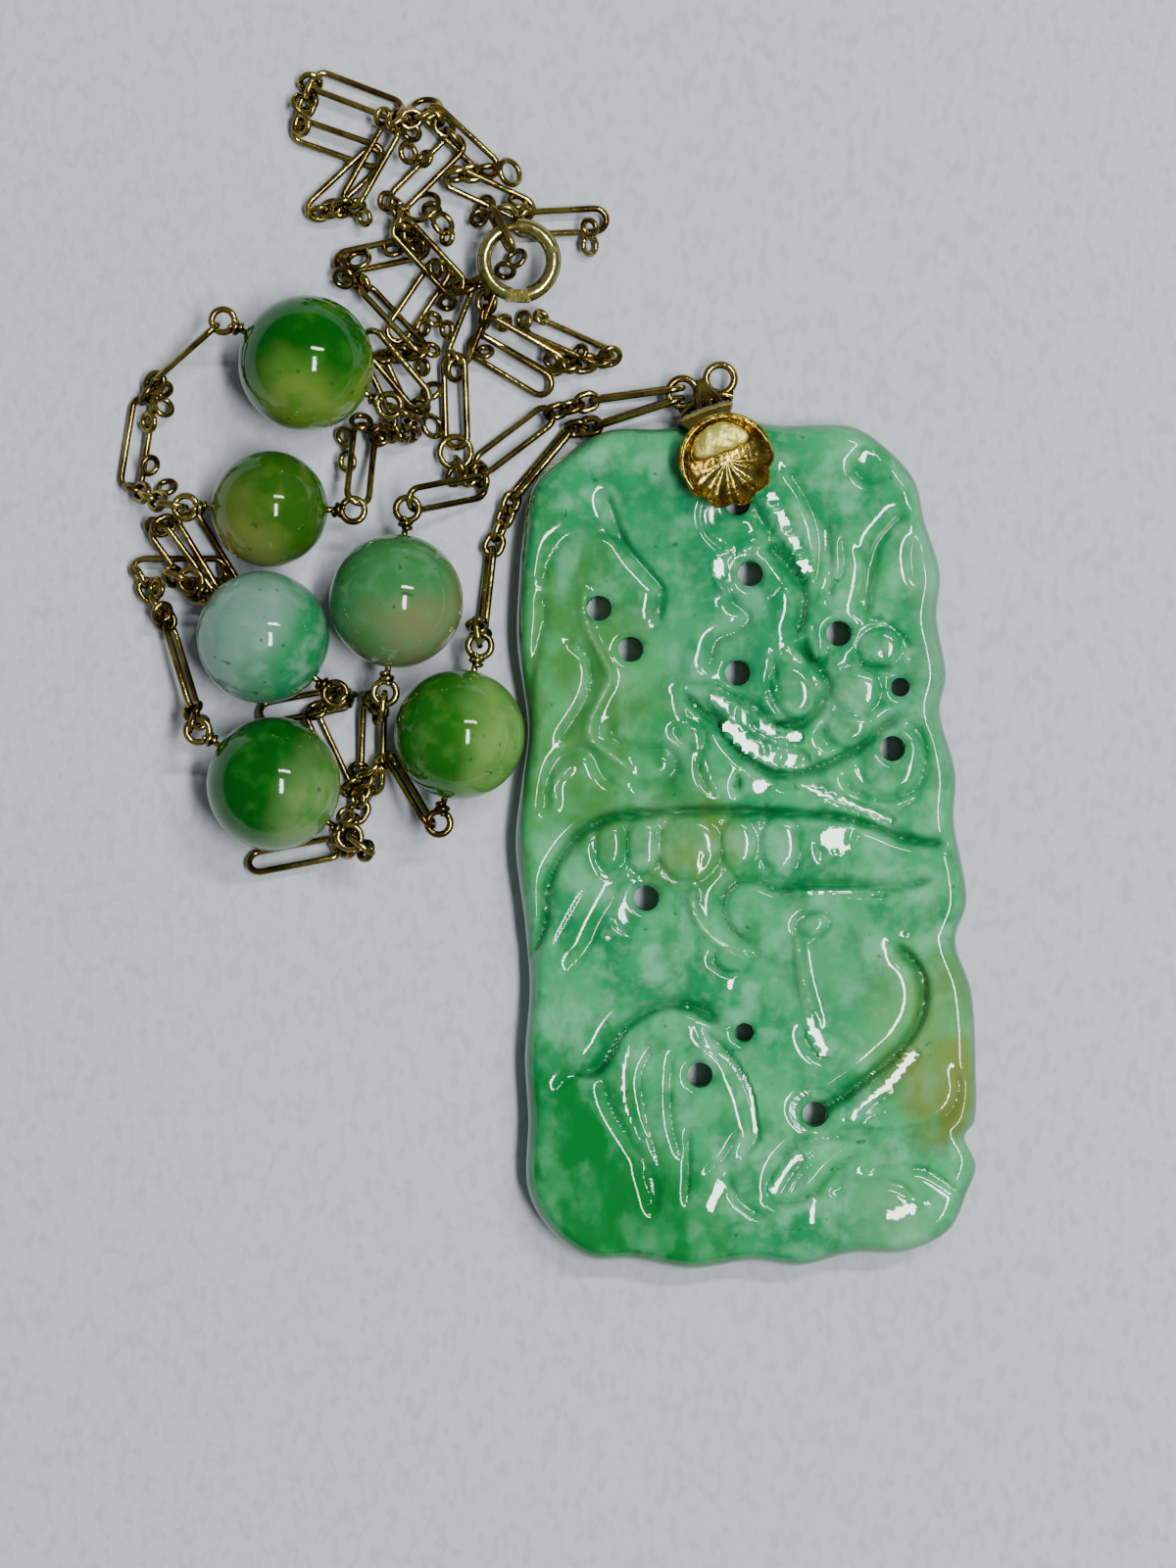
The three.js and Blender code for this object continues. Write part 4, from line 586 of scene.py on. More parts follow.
def plaque():
    jade = Finish("plaque_jade", Specular_IOR_Level=0.38, IOR=1.6, Subsurface_Weight=0.3,
                  Subsurface_Radius=(0.4, 1.0, 0.6), Subsurface_Scale=1.2 * MM)
    broad = jade.clouds(9, 3, 2)
    mottle = jade.clouds(2.8, 4, 4)
    crystals = jade.clouds(0.8, 5, 2)
    threads = jade.clouds(2.0, 6, 4, (1, 0.6, 1))
    green = jade.mix(broad.between(0.38, 0.62), paint(68, 180, 114), paint(28, 150, 92))
    green = jade.mix(mottle.between(0.46, 0.66) * 0.66, green, paint(120, 206, 158))
    green = jade.mix(threads.between(0.47, 0.65) * 0.55, green, paint(4, 118, 62))
    green = jade.mix(crystals.between(0.45, 0.75) * 0.25, green, paint(140, 204, 162))

    swirl = {"Vector": jade.place, "Scale": 1 / (6 * MM), "Detail": 2.0}
    swirl = jade.node("ShaderNodeTexNoise", {}, swirl, 1)
    drift = jade.vector("SCALE", {0: swirl, "Scale": STAIN_DRIFT * MM})
    wandering = jade.vector("ADD", {0: jade.place, 1: drift})
    broken = 0.55 + 0.45 * threads.between(0.4, 0.6)

    def patch(x, y, inner, outer, squeeze):
        """1 within inner millimetres of a spot, fading with a ragged edge to 0 at outer."""
        spot = ((x + STAIN_DRIFT / 2) * MM, (y + STAIN_DRIFT / 2) * MM * squeeze, 0)
        shrunk = jade.vector("MULTIPLY", {0: wandering, 1: (1, squeeze, 0)})
        away = jade.vector("DISTANCE", {0: shrunk, 1: spot}, "Value")
        return away.between(outer * MM, inner * MM) * broken

    # Each stained patch: its spot, inner and outer size, squeeze, strength and colour.
    for *spread, strength, colour in (
        (-12.5, -19, 3, 10, 1, 1, (0, 120, 46)), (-7, -25.5, 2.5, 8, 1, 1, (2, 120, 44)),
        (-12, 9, 3, 9, 0.6, 0.7, (76, 134, 54)), (-3.8, 0.6, 1, 5, 1, 0.7, (104, 142, 50)),
        (-4.4, 4.4, 0.8, 3, 1, 0.7, (20, 116, 56)), (13.4, 14, 0.5, 4.5, 0.4, 0.8, (138, 190, 156)),
        (12.1, -15.2, 1.8, 4.4, 1, 0.9, (110, 116, 40)), (12.2, -12, 2, 7, 1, 0.5, (132, 166, 84)),
        (-5, 22, 1, 6, 1, 0.45, (14, 128, 84)), (-2, 13, 1, 6, 1, 0.55, (30, 130, 86)),
        (5.5, -7, 1, 5, 1, 0.6, (50, 142, 98)), (9, -24.4, 1, 4, 1, 0.5, (126, 190, 142)),
        (5, -24.6, 0.2, 1.4, 1, 0.6, (0, 112, 40)),
    ):
        green = jade.mix(patch(*spread) * strength, green, paint(*colour))
    height = jade.upward(jade.place)
    # Painted shade: the green turns darker down into the grooves and down the rim's sides, the lower the
    # darker.
    low_shade = height.between(PLAQUE_THICKNESS * MM, (PLAQUE_THICKNESS - 1) * MM)
    green = jade.mix(low_shade * 0.65, green, paint(10, 108, 52))
    # Painted highlight: ridges raised above the face are paler.
    proud_highlight = height.between((PLAQUE_THICKNESS + 0.05) * MM, (PLAQUE_THICKNESS + 0.5) * MM)
    green = jade.mix(proud_highlight * 0.25, green, paint(150, 200, 150))
    flecks = jade.clouds(0.9, 7, 1)
    green = jade.mix(flecks.between(0.74, 0.79) * 0.6, green, paint(30, 84, 46))
    jade.give("Base Color", green)
    jade.give("Roughness", 0.04 + 0.06 * mottle)
    wheel_marks = jade.clouds(0.25, 8, 1, (1, 0.25, 1))
    jade.bumps(crystals + 0.35 * wheel_marks, 0.005)

    edge = plaque_edge()
    spine = np.column_stack([np.zeros(len(edge)), np.clip(edge[:, 1], -SPINE_REACH, SPINE_REACH)])
    edge = edge + (spine - edge) * POLISHED_OFF
    inward = spine - edge
    length = np.linalg.norm(inward, axis=1)[:, None]
    # Each ring goes a step further in: over the back, round the rim, over the front.
    over_back = np.radians(np.linspace(90, 0, BACK_RINGS + 1)[:-1])
    round_rim = np.radians(np.linspace(0, 90, RIM_RINGS))
    over_face = np.linspace(0, 1, FACE_RINGS + 1)[1:]
    steps = [BACK_INSET * (1 - math.cos(angle)) + 0 * length for angle in over_back]
    steps += [RIM_INSET * (1 - math.cos(angle)) + 0 * length for angle in round_rim]
    steps += [RIM_INSET + (length - RIM_INSET) * share for share in over_face]
    lifts = [*-np.sin(over_back), *np.sin(round_rim), *[1] * FACE_RINGS]
    flat_rings = [edge + inward / length * step for step in steps]
    heights = carved_face(np.vstack(flat_rings)).reshape(len(steps), len(edge))
    rings = []
    for ring, height, lift in zip(flat_rings, heights, lifts):
        reach = height - WIDEST if lift > 0 else WIDEST + 0 * height
        rings.append(np.column_stack([ring, WIDEST + reach * lift]))
    skin = ring_faces(len(rings), len(edge), last_cap=False)
    body = piece("jade_plaque", np.vstack(rings), skin, jade, "carved_plaque", "jade_plaque")
    closed = bmesh.new()
    closed.from_mesh(body.data)
    bmesh.ops.remove_doubles(closed, verts=closed.verts, dist=1e-7)
    closed.to_mesh(body.data)
    closed.free()
    for (x, y), size in DRILLED:
        cut_away(body, *drill(x, y, size))
    half = CHANNEL_HALF_WIDTH
    floor = ((-half, -half), (half, -half), (half, CHANNEL_LENGTH), (-half, CHANNEL_LENGTH))
    cut_away(body, [bail_place(x, y, z) for z in (-1, CHANNEL_DEPTH) for x, y in floor], ring_faces(2, 4))
    body.data.set_sharp_from_angle(angle=math.radians(50))


plaque()


# Beads
# Six round beads of jade in mixed greens, turned, drilled through and polished.
# Each lies on the paper with its bore level, along its own wire pin.
BEAD_DIAMETERS = [8.6, 7.4, 8.4, 8.5, 8.3, 8.5]
BEAD_BORE = 1.15
BORE_POLISHED_OFF = 0.02
PIN_HEADINGS = [153, 179, 142, 83, 77, 145]
BEAD_ROWS = 44
BEAD_SIDES = 72
radii = [diameter / 2 for diameter in BEAD_DIAMETERS]
# The fifth bead lies against the plaque's left edge, and the others follow on from it.
bead_places = {4: Vector((-14.3 - radii[4], 7.2, radii[4]))}


def beside_bead(index, neighbour, heading, clearance):
    """Places a bead against its neighbour, both on the paper."""
    rise = radii[index] - radii[neighbour]
    reach = math.sqrt((radii[index] + radii[neighbour] + clearance) ** 2 - rise**2)
    turn = math.radians(heading)
    x, y, _ = bead_places[neighbour]
    place = (x + reach * math.cos(turn), y + reach * math.sin(turn), radii[index])
    bead_places[index] = Vector(place)


beside_bead(3, 4, 115.3, 0.95)
beside_bead(2, 3, 195.3, 0.3)
beside_bead(1, 2, 87.4, 0.3)
beside_bead(0, 1, 75.5, 1.5)
beside_bead(5, 2, -85.8, 0.85)


def bead(index, main, second, third, lean):
    """One bead with its bore, in three greens; lean is the heading towards its second."""
    jade = Finish(f"bead_jade_{index + 1}", Specular_IOR_Level=0.3, IOR=1.6, Subsurface_Weight=0.3,
                  Subsurface_Radius=(0.6, 1.0, 0.5), Subsurface_Scale=1.0 * MM)
    broad = jade.clouds(5, 10 + index, 2)
    mottle = jade.clouds(1.5, 20 + index, 3)
    away = (math.cos(math.radians(lean)), math.sin(math.radians(lean)), 0)
    side = jade.vector("DOT_PRODUCT", {0: jade.place, 1: away}, "Value")
    radius = radii[index] * MM
    ragged = side + (broad - 0.5) * (2 * radius)
    colour = jade.mix(ragged.between(-0.25 * radius, 0.75 * radius), main, second)
    colour = jade.mix(mottle.between(0.45, 0.72) * 0.6, colour, third)
    specks = jade.clouds(0.7, 30 + index, 1)
    colour = jade.mix(specks.between(0.7, 0.76) * 0.6, colour, paint(40, 60, 30))
    jade.give("Base Color", colour)
    jade.give("Roughness", 0.04 + 0.06 * mottle)
    jade.bumps(mottle, 0.01)
    edge = math.asin(BEAD_BORE / 2 / radii[index])
    angles = np.linspace(edge, math.pi - edge, BEAD_ROWS)
    rows = [(radii[index] * math.cos(a), radii[index] * math.sin(a)) for a in angles]
    rows += [(x, BEAD_BORE / 2 - BORE_POLISHED_OFF) for x in (rows[-1][0], rows[0][0])]
    turns = full_turn(BEAD_SIDES)
    rings = [[(x, -r * math.cos(turn), -r * math.sin(turn)) for turn in turns] for x, r in rows]
    points = np.vstack(rings) @ np.array(turning(PIN_HEADINGS[index])).T
    faces = ring_faces(len(rows), BEAD_SIDES, closed=True)
    name = f"jade_bead_{index + 1}"
    piece(f"bead_{index + 1}", points, faces, jade, name, "jade_bead", bead_places[index], 50)


bead(0, paint(0, 84, 2), paint(104, 136, 52), paint(48, 118, 26), -75)
bead(1, paint(38, 92, 12), paint(112, 122, 54), paint(84, 112, 40), -120)
bead(2, paint(112, 156, 136), paint(36, 134, 82), paint(130, 172, 150), -30)
bead(3, paint(56, 124, 68), paint(116, 124, 82), paint(86, 146, 96), -50)
bead(4, paint(24, 100, 12), paint(112, 158, 78), paint(74, 130, 50), -10)
bead(5, paint(0, 84, 8), paint(104, 142, 80), paint(44, 120, 34), -35)


# Bail
# A gold strap that folds over the plaque's top edge, pinned through the top
# hole, with two soldered rings. A stamped and cupped lotus is soldered on its front.
def gold_finish(name, light, deep, rough):
    """Gold in clouded tones with fine tarnish spots, and painted shade darkening it down its sides."""
    gold = Finish(name, Metallic=1.0)
    cloudy = gold.clouds(2.2, 41, 2)
    fine = gold.clouds(0.35, 42, 1)
    colour = gold.mix(cloudy.between(0.35, 0.7), light, deep)
    colour = gold.mix(fine.between(0.6, 0.74) * 0.6, colour, paint(110, 64, 36))
    # Painted shade: the gold turns dark brown where its surface turns away from straight up, down the sides
    # of wires and strap.
    level = gold.upward(gold.node("ShaderNodeTexCoord", {}, {}, "Normal"))
    gold.give("Base Color", gold.mix(level.between(0.85, 0.35) * 0.85, colour, paint(48, 34, 16)))
    gold.give("Roughness", rough + 0.14 * cloudy)
    gold.bumps(fine, 0.02)
    return gold


chain_gold = gold_finish("chain_gold", paint(204, 184, 94), paint(110, 84, 36), 0.07)
WIRE = 0.44
BEND_STEPS = 11
RING_STEPS = 32
OFF_THE_WIRE = (0.31, 0.17, 0.93)


def swept(way, thickness, closed=False, sides=10):
    """Round wire along a way, as points and faces."""
    way = np.array(way, float)
    ahead = np.roll(way, -1, 0) - np.roll(way, 1, 0) if closed else np.gradient(way, axis=0)
    ahead /= np.linalg.norm(ahead, axis=1)[:, None]
    out = np.cross(ahead[0], OFF_THE_WIRE)
    turns = full_turn(sides)
    points = []
    for centre, along in zip(way, ahead):
        out = out - along * (out @ along)
        out /= np.linalg.norm(out)
        across = np.cross(along, out)
        ring = np.cos(turns)[:, None] * out + np.sin(turns)[:, None] * across
        points.append(centre + thickness / 2 * ring)
    return np.vstack(points), ring_faces(len(way), sides, closed=closed)


def welded(parts):
    """Several point and face lists as one."""
    points, faces, count = [], [], 0
    for some, skin in parts:
        points.append(np.asarray(some, float))
        faces += [[corner + count for corner in face] for face in skin]
        count += len(some)
    return np.vstack(points), faces


def wire_loop(start, end, width, roll, thickness=WIRE):
    """A wire ring pulled out lengthwise until its ends are at the given points."""
    start, end = Vector(start), Vector(end)
    lengthwise = (end - start).normalized()
    side = Vector((-lengthwise.y, lengthwise.x, 0)).normalized()
    side = turning(roll, lengthwise) @ side
    radius = (width - thickness) / 2
    pull = max((end - start).length / 2 - radius, 0)
    middle = (start + end) / 2
    way = []
    for step in range(2 * BEND_STEPS):
        half, share = divmod(step, BEND_STEPS)
        angle = math.radians(-90 + 180 * share / (BEND_STEPS - 1) + 180 * half)
        along = radius * math.cos(angle) + (-pull if half else pull)
        way.append(middle + lengthwise * along + side * radius * math.sin(angle))
    return swept(way, thickness, closed=True)


def flat_ring(centre, diameter, thickness=WIRE, tilt=(0, 0)):
    """A round wire ring, level or tilted about the two level directions in radians."""
    turns = full_turn(RING_STEPS)
    radius = (diameter - thickness) / 2
    way = np.column_stack([radius * np.cos(turns), radius * np.sin(turns), 0 * turns])
    lean = np.array(Matrix.Rotation(tilt[0], 3, "X") @ Matrix.Rotation(tilt[1], 3, "Y"))
    return swept(way @ lean.T + np.array(centre), thickness, closed=True)


PLAQUE_TOP = 27.3
STRAP_THICKNESS = 0.5
STRAP_HALF_WIDTH = 1.3
STRAP_GAP = 0.3
STRAP_FLARE = 0.42
STRAP_BOW = 0.16
STRAP_PIN = 0.6
BAIL_RING = 2.3
BAIL_RING_HEIGHT = 1.9
BAIL_RINGS_AT = (-0.8, 1.75)
SOLDER_REACH = 1.1 / 3
YOKE_WIRE = 0.72
WEB_WIRE = 0.62
BLOSSOM_RADIUS = 3.02
BRIM_RADIUS = 2.78
BRIM_WIRE = 0.26
STAMEN_WIRE = 0.24
PETAL_HALF_LENGTH = 2.0
PETAL_HALF_WIDTH = 1.15
PETAL_HALF_HEIGHT = 0.78
STRAP_END = PLAQUE_TOP - BAIL_HOLE[1] + 2 * STRAP_GAP
RING_REACH = STRAP_END + STRAP_THICKNESS + SOLDER_REACH + BAIL_RING / 2 - WIRE / 4


def bail_strap():
    """The strap, bowed across and flared at its fold, with its pin, rings, yoke and soldered web."""
    back = [(0.2, 0.4), (3, 0.4), (STRAP_END - 0.35, 0.42), (STRAP_END + 0.12, 0.75)]
    top = [(STRAP_END + 0.25, 1.6), (STRAP_END + 0.25, 3.4), (STRAP_END + 0.1, 4.3)]
    side = [*back, *top, (STRAP_END - 0.5, 4.73), (3, 4.75), (0.6, 4.75)]
    way = smooth_way(side, 60)
    ahead = np.gradient(way, axis=0)
    ahead /= np.linalg.norm(ahead, axis=1)[:, None]
    turns = full_turn(24)
    points = []
    for (y, z), (ay, az) in zip(way, ahead):
        flare = 1 + STRAP_FLARE * np.clip((y - 5.2) / 0.9, 0, 1) * np.clip((z - 0.6) / 0.8, 0, 1)
        for turn in turns:
            c, s = math.cos(turn), math.sin(turn)
            across = STRAP_HALF_WIDTH * flare * np.sign(c) * abs(c) ** 0.35
            off = STRAP_THICKNESS / 2 * np.sign(s) * abs(s) ** 0.5
            bow = STRAP_BOW * (across / 1.8) ** 2
            points.append(bail_place(across, y - az * off - bow * az, z + ay * off - bow * ay))
    parts = [(points, ring_faces(len(way), 24))]
    parts.append(swept([bail_place(0, 0.45, z) for z in (0.4, 1.5, 3, 4.6)], STRAP_PIN, sides=16))
    rings = [bail_place(x, RING_REACH, BAIL_RING_HEIGHT) for x in BAIL_RINGS_AT]
    parts += [flat_ring(ring, BAIL_RING, WIRE + 0.06) for ring in rings]
    yoke = [(-1.3, 6.6, 1.75), (-0.4, 6.95, 1.95), (0.45, 6.75, 2.3), (1.3, 6.95, 1.95), (2.1, 6.6, 1.75)]
    parts.append(swept([bail_place(*spot) for spot in smooth_way(yoke, 24)], YOKE_WIRE, sides=14))
    for lean in (-0.85, 0, 0.85):
        web = smooth_way([(0.47 + lean, 6.1, 2.9), (0.47 + 0.6 * lean, 7.0, 2.3), (0.47, 8.2, 1.9)], 12)
        parts.append(swept([bail_place(*spot) for spot in web], WEB_WIRE, sides=12))
    piece("bail_strap_gold", *welded(parts), chain_gold, "bail_strap", "gold", sharp=60)


def blossom():
    """A scalloped cup with a ribbed floor and a grained petal folded in from its top."""
    gold = Finish("blossom_gold", Metallic=1.0)
    cloudy = gold.clouds(1.2, 43, 2)
    grain = gold.clouds(0.3, 44, 1)
    seat = PLAQUE_THICKNESS + 2 * STRAP_GAP + STRAP_THICKNESS
    height = gold.upward(gold.place)
    # The petal's raised top is rougher and painted pale near-white: a painted highlight.
    matt_and_highlight = height.between((seat + 1.3) * MM, (seat + 1.5) * MM)
    colour = gold.mix(cloudy.between(0.35, 0.65), paint(200, 182, 92), paint(132, 108, 42))
    colour = gold.mix(grain.between(0.56, 0.7) * 0.6, colour, paint(84, 60, 24))
    gold.give("Base Color", gold.mix(matt_and_highlight * 0.9, colour, paint(252, 242, 136)))
    gold.give("Roughness", 0.18 + 0.16 * cloudy + 0.3 * matt_and_highlight)
    gold.bumps(grain, 0.07)
    turns = full_turn(160)
    low = np.clip(-np.sin(turns) * 1.6 + 0.35, 0, 1)
    rib = np.cos(10 * turns)
    lobe = abs(np.sin(5 * (turns - 0.1)))
    reach = BLOSSOM_RADIUS * (1 - 0.1 * low * (1 - lobe))
    # Each row by its share of the reach, its height and how strongly it is ribbed.
    rows = [
        (0.72, 0.02, 0), (0.9, 0.35, 0), (0.99, 0.85, 0.3), (1.0, 1.12, 0.6), (0.97, 1.18, 0.9),
        (0.93, 1.05, 1), (0.84, 0.8, 1), (0.7, 0.66, 1), (0.52, 0.58, 0.9), (0.34, 0.55, 0.6),
        (0.16, 0.6, 0.3), (0.03, 0.62, 0),
    ]
    points = []
    for share, rise, ribbed in rows:
        z = seat + rise + 0.1 * ribbed * low * rib + 0.14 * (1 - low) * (share > 0.9)
        points.append(np.column_stack([reach * share * np.cos(turns), reach * share * np.sin(turns), z]))
    parts = [(np.vstack(points), ring_faces(len(rows), len(turns)))]
    petal = []
    for angle in np.linspace(-1.5, 1.5, 26):
        for turn in full_turn(64):
            x = PETAL_HALF_LENGTH * math.cos(angle) * math.cos(turn)
            y = PETAL_HALF_WIDTH * math.cos(angle) * math.sin(turn) * (1 if turn < math.pi else 0.85)
            puckers = 1 + 0.1 * math.sin(6 * x + 2 * y) * math.sin(5 * y - x)
            rise = PETAL_HALF_HEIGHT * math.sin(angle) * puckers
            petal.append((x, 1.4 + y - 0.12 * x * x, seat + 1.02 + rise))
    parts.append((np.array(petal), ring_faces(26, 64)))
    circle = [(math.cos(a), math.sin(a)) for a in np.radians(np.linspace(5, 200, 40))]
    brim = [(BRIM_RADIUS * x, BRIM_RADIUS * y, seat + 1.15) for x, y in circle]
    parts.append(swept(brim, BRIM_WIRE))
    for angle in np.radians(range(0, 360, 72)):
        x, y = 0.1 + 0.5 * math.cos(angle), 0.05 + 0.3 * math.sin(angle)
        parts.append(swept([(x, y, seat + rise) for rise in (0.5, 0.72, 0.78)], STAMEN_WIRE, sides=8))
    points, faces = welded(parts)
    points = points @ np.array(turning(BAIL_TURN)).T + np.array(bail_place(0.1, 2.6, 0))
    piece("lotus", points, faces, gold, "bail_blossom", "gold", sharp=65)


bail_strap()
blossom()


# Chain
# Drawn gold wire bent into long paper-clip links, with small round links between
# them, closed by soldering. It runs from the bail through the beads and ends in
# a loose heap beside the plaque.
LONG_LINK_LENGTH = 6.4
LONG_LINK_WIDTH = 1.9
SMALL_LINK_WIDTH = 1.5
SMALL_LINK_STEP = 1.15
FREE_LINK_LENGTH = 2.2
FREE_LINK_WIDTH = 1.8
GROUND = 0.78
CONTACT = 0.9 * WIRE
PIN_LOOP = 1.9
WRAP_LENGTH = 0.8
WRAP_WIRE = 0.32
WRAP_RADIUS = 0.36
WRAP_TURNS = 2
WRAP_RUN = 0.66
WRAP_START = 0.06
LOOSE_STEP = 0.35
LOOSE_LEAN = 0.75
REST_GAP = 0.3
CORNER_RING = 2.44
CORNER_RING_PLACE = Vector((-18.8, 25.3, GROUND + 0.2))


def heading_vector(heading):
    return Vector((math.cos(math.radians(heading)), math.sin(math.radians(heading)), 0))


def long_link(x, y, heading, roll, first=GROUND, last=GROUND):
    """A long link by its middle, heading, roll and the heights of its two ends."""
    reach = math.sqrt((LONG_LINK_LENGTH - WIRE) ** 2 - (last - first) ** 2) / 2
    along = heading_vector(heading) * reach
    return {"start": Vector((x, y, first)) - along, "end": Vector((x, y, last)) + along, "roll": roll}


def long_link_from(point, heading, roll, last):
    """A long link by the place of its first end."""
    reach = math.sqrt((LONG_LINK_LENGTH - WIRE) ** 2 - (last - point.z) ** 2) / 2
    middle = point + heading_vector(heading) * reach
    return long_link(middle.x, middle.y, heading, roll, point.z, last)


def beside_plaque(x, y, heading, roll, first, last, clearance):
    """A long link moved straight off the plaque's edge until its middle is clear of it."""
    edge = smooth_way(OUTLINE, 400, closed=True)
    nearest = Vector(edge[np.argmin(np.hypot(*(edge - (x, y)).T))])
    place = nearest + (Vector((x, y)) - nearest).normalized() * clearance
    return long_link(place.x, place.y, heading, roll, first, last)


def bearing(here, there, roll):
    """Where the next link bears inside one end of a link, and how this one is rolled there."""
    return {"point": here + (there - here).normalized() * CONTACT / 2, "roll": roll}


def head(link):
    """The bearing in a link's first end."""
    return bearing(link["start"], link["end"], -link["roll"])


def tail(link):
    """The bearing in a link's last end."""
    return bearing(link["end"], link["start"], link["roll"])


def small_links(first, last):
    """Small round links from one bearing to another, each rolled on by about a quarter turn."""
    chord = last["point"] - first["point"]
    count = max(1, math.ceil(chord.length / SMALL_LINK_STEP))
    step = chord / count
    overlap = max(CONTACT, SMALL_LINK_WIDTH - WIRE - step.length)
    half = step.normalized() * (step.length + overlap) / 2
    total = last["roll"] + first["roll"]
    turns = round((90 * (count + 1) + total) / 180)
    roll_step = (180 * turns - total) / (count + 1)
    links = []
    for index in range(count):
        middle = first["point"] + step * (index + 0.5)
        roll = first["roll"] + (index + 1) * roll_step
        links.append(wire_loop(middle - half, middle + half, SMALL_LINK_WIDTH, roll))
    return links


def free_link(centre, heading, roll):
    """A small link that hangs freely in a ring, from the ring's centre outwards."""
    end = centre + heading_vector(heading) * (FREE_LINK_LENGTH - WIRE)
    return {"start": centre, "end": end, "roll": roll}


def crowd(spots):
    """Small rings loose among the others, by place and diameter, in four heights and all ways."""
    rings = []
    for index, (x, y, diameter) in enumerate(spots):
        height = 0.3 + 0.3 * diameter + LOOSE_STEP * (index % 4)
        tilt = (LOOSE_LEAN * math.cos(2.4 * index), LOOSE_LEAN * math.sin(2.4 * index))
        rings.append(flat_ring((x, y, height), diameter, 0.9 * WIRE, tilt))
    return rings


def pin_loop(index, second):
    """The middle of the loop at the first or the second end of a bead's pin."""
    reach = radii[index] + REST_GAP + WRAP_LENGTH + (PIN_LOOP - WIRE) / 2 - WIRE / 2
    return bead_places[index] + heading_vector(PIN_HEADINGS[index] + 180 * second) * reach


def pin_bearing(index, second, heading):
    """Where a link bears on the outer end of a pin's flat loop."""
    reach = (PIN_LOOP - WIRE) / 2 - CONTACT / 2
    return {"point": pin_loop(index, second) + heading_vector(heading) * reach, "roll": 0}


def pin(index):
    """A straight wire through its bead, wrapped on itself twice and looped at both ends."""
    ends = [pin_loop(index, second) for second in (0, 1)]
    core = [ends[0].lerp(ends[1], t) for t in np.linspace(0.08, 0.92, 12)]
    parts = [swept(core, WIRE * 0.95), *(flat_ring(end, PIN_LOOP) for end in ends)]
    for second in (0, 1):
        along = heading_vector(PIN_HEADINGS[index] + 180 * second)
        side = Vector((-along.y, along.x, 0))
        coil = []
        for share in np.linspace(0, 1, 31):
            turn = 2 * math.pi * WRAP_TURNS * share + math.pi / 2
            reach = radii[index] + REST_GAP + WRAP_START + WRAP_RUN * share
            spoke = side * math.cos(turn) + Vector((0, 0, math.sin(turn)))
            coil.append(bead_places[index] + along * reach + spoke * WRAP_RADIUS)
        parts.append(swept(coil, WRAP_WIRE, sides=8))
    return parts


def strand(name, node, links, free, runs, pins=(), spots=(), others=()):
    """A run of chain as one piece: links, small links between bearings, pins and loose rings."""
    parts = [wire_loop(link["start"], link["end"], LONG_LINK_WIDTH, link["roll"]) for link in links]
    parts += [wire_loop(link["start"], link["end"], FREE_LINK_WIDTH, link["roll"]) for link in free]
    for first, last in runs:
        parts += small_links(first, last)
    for index in pins:
        parts += pin(index)
    piece(name, *welded([*parts, *crowd(spots), *others]), chain_gold, node, "gold")


beside_corner = beside_plaque(-14.8, 25.8, -143, 25, 1.35, GROUND, 2.8)
round_corner = beside_plaque(-13.2, 24.5, -130, 72, 0.95, 0.95, 0.55)
bail_ring = bail_place(BAIL_RINGS_AT[0], RING_REACH, BAIL_RING_HEIGHT)


def first_link(offset, towards, swing):
    """The first bail ring holds the first link of two strands, side by side."""
    point = bail_ring + Vector((0, offset * 0.73 * WIRE, 0))
    run = towards["start"] - point
    return long_link_from(point, math.degrees(math.atan2(run.y, run.x)) + swing, 80, 1.05)


def bail_to_bead_4():
    first = first_link(1, beside_corner, -3)
    third = long_link_from(pin_bearing(3, False, 80)["point"], 14, 20, GROUND + 0.1)
    free = free_link(CORNER_RING_PLACE + Vector((0, -0.8 * WIRE, 0)), -67, 80)
    strand("chain_outer_corner", "chain_bail_to_bead_4", [first, beside_corner, third], [free], [
        (tail(first), head(beside_corner)),
        (tail(beside_corner), tail(third)),
        (tail(free), tail(beside_corner)),
    ], [3])


def bail_to_bead_5():
    first = first_link(-1, round_corner, 3)
    third = long_link(-16.8, 16.2, -96, 75, 0.95, 1.6)
    free = free_link(pin_loop(4, False), 100, 90)
    strand("chain_inner_corner", "chain_bail_to_bead_5", [first, round_corner, third], [free], [
        (tail(first), head(round_corner)),
        (tail(round_corner), head(third)),
        (tail(third), tail(free)),
    ])


def bead_3_to_bead_5():
    first = long_link_from(pin_bearing(4, True, 200)["point"], 122, 75, 1.3)
    second = long_link(-26.9, 6.1, 115, 60, 0.9, 0.9)
    third = long_link(-28.4, 9.1, -169, 25)
    strand("chain_under_beads", "chain_bead_3_to_bead_5", [first, second, third], [], [
        (tail(first), head(second)),
        (tail(second), head(third)),
        (head(third), pin_bearing(2, True, -40)),
    ], [2, 4])


def bead_4_to_bead_6():
    first = long_link(-24.1, 6.4, -92, 20, 1.6, GROUND)
    second = long_link(-29.1, -0.5, -169, 30)
    top = free_link(pin_loop(3, True), -97, 90)
    bottom = free_link(pin_loop(5, True), -35, 90)
    strand("chain_below_beads", "chain_bead_4_to_bead_6", [first, second], [top, bottom], [
        (tail(top), head(first)),
        (tail(first), head(second)),
        (head(second), tail(bottom)),
    ], [], [
        (-25.0, 5.0, 1.4), (-24.1, 9.4, 1.5), (-25.0, 3.1, 1.4), (-25.8, 2.0, 1.4), (-26.3, 0.4, 1.3),
        (-25.2, 0.4, 1.4),
    ])


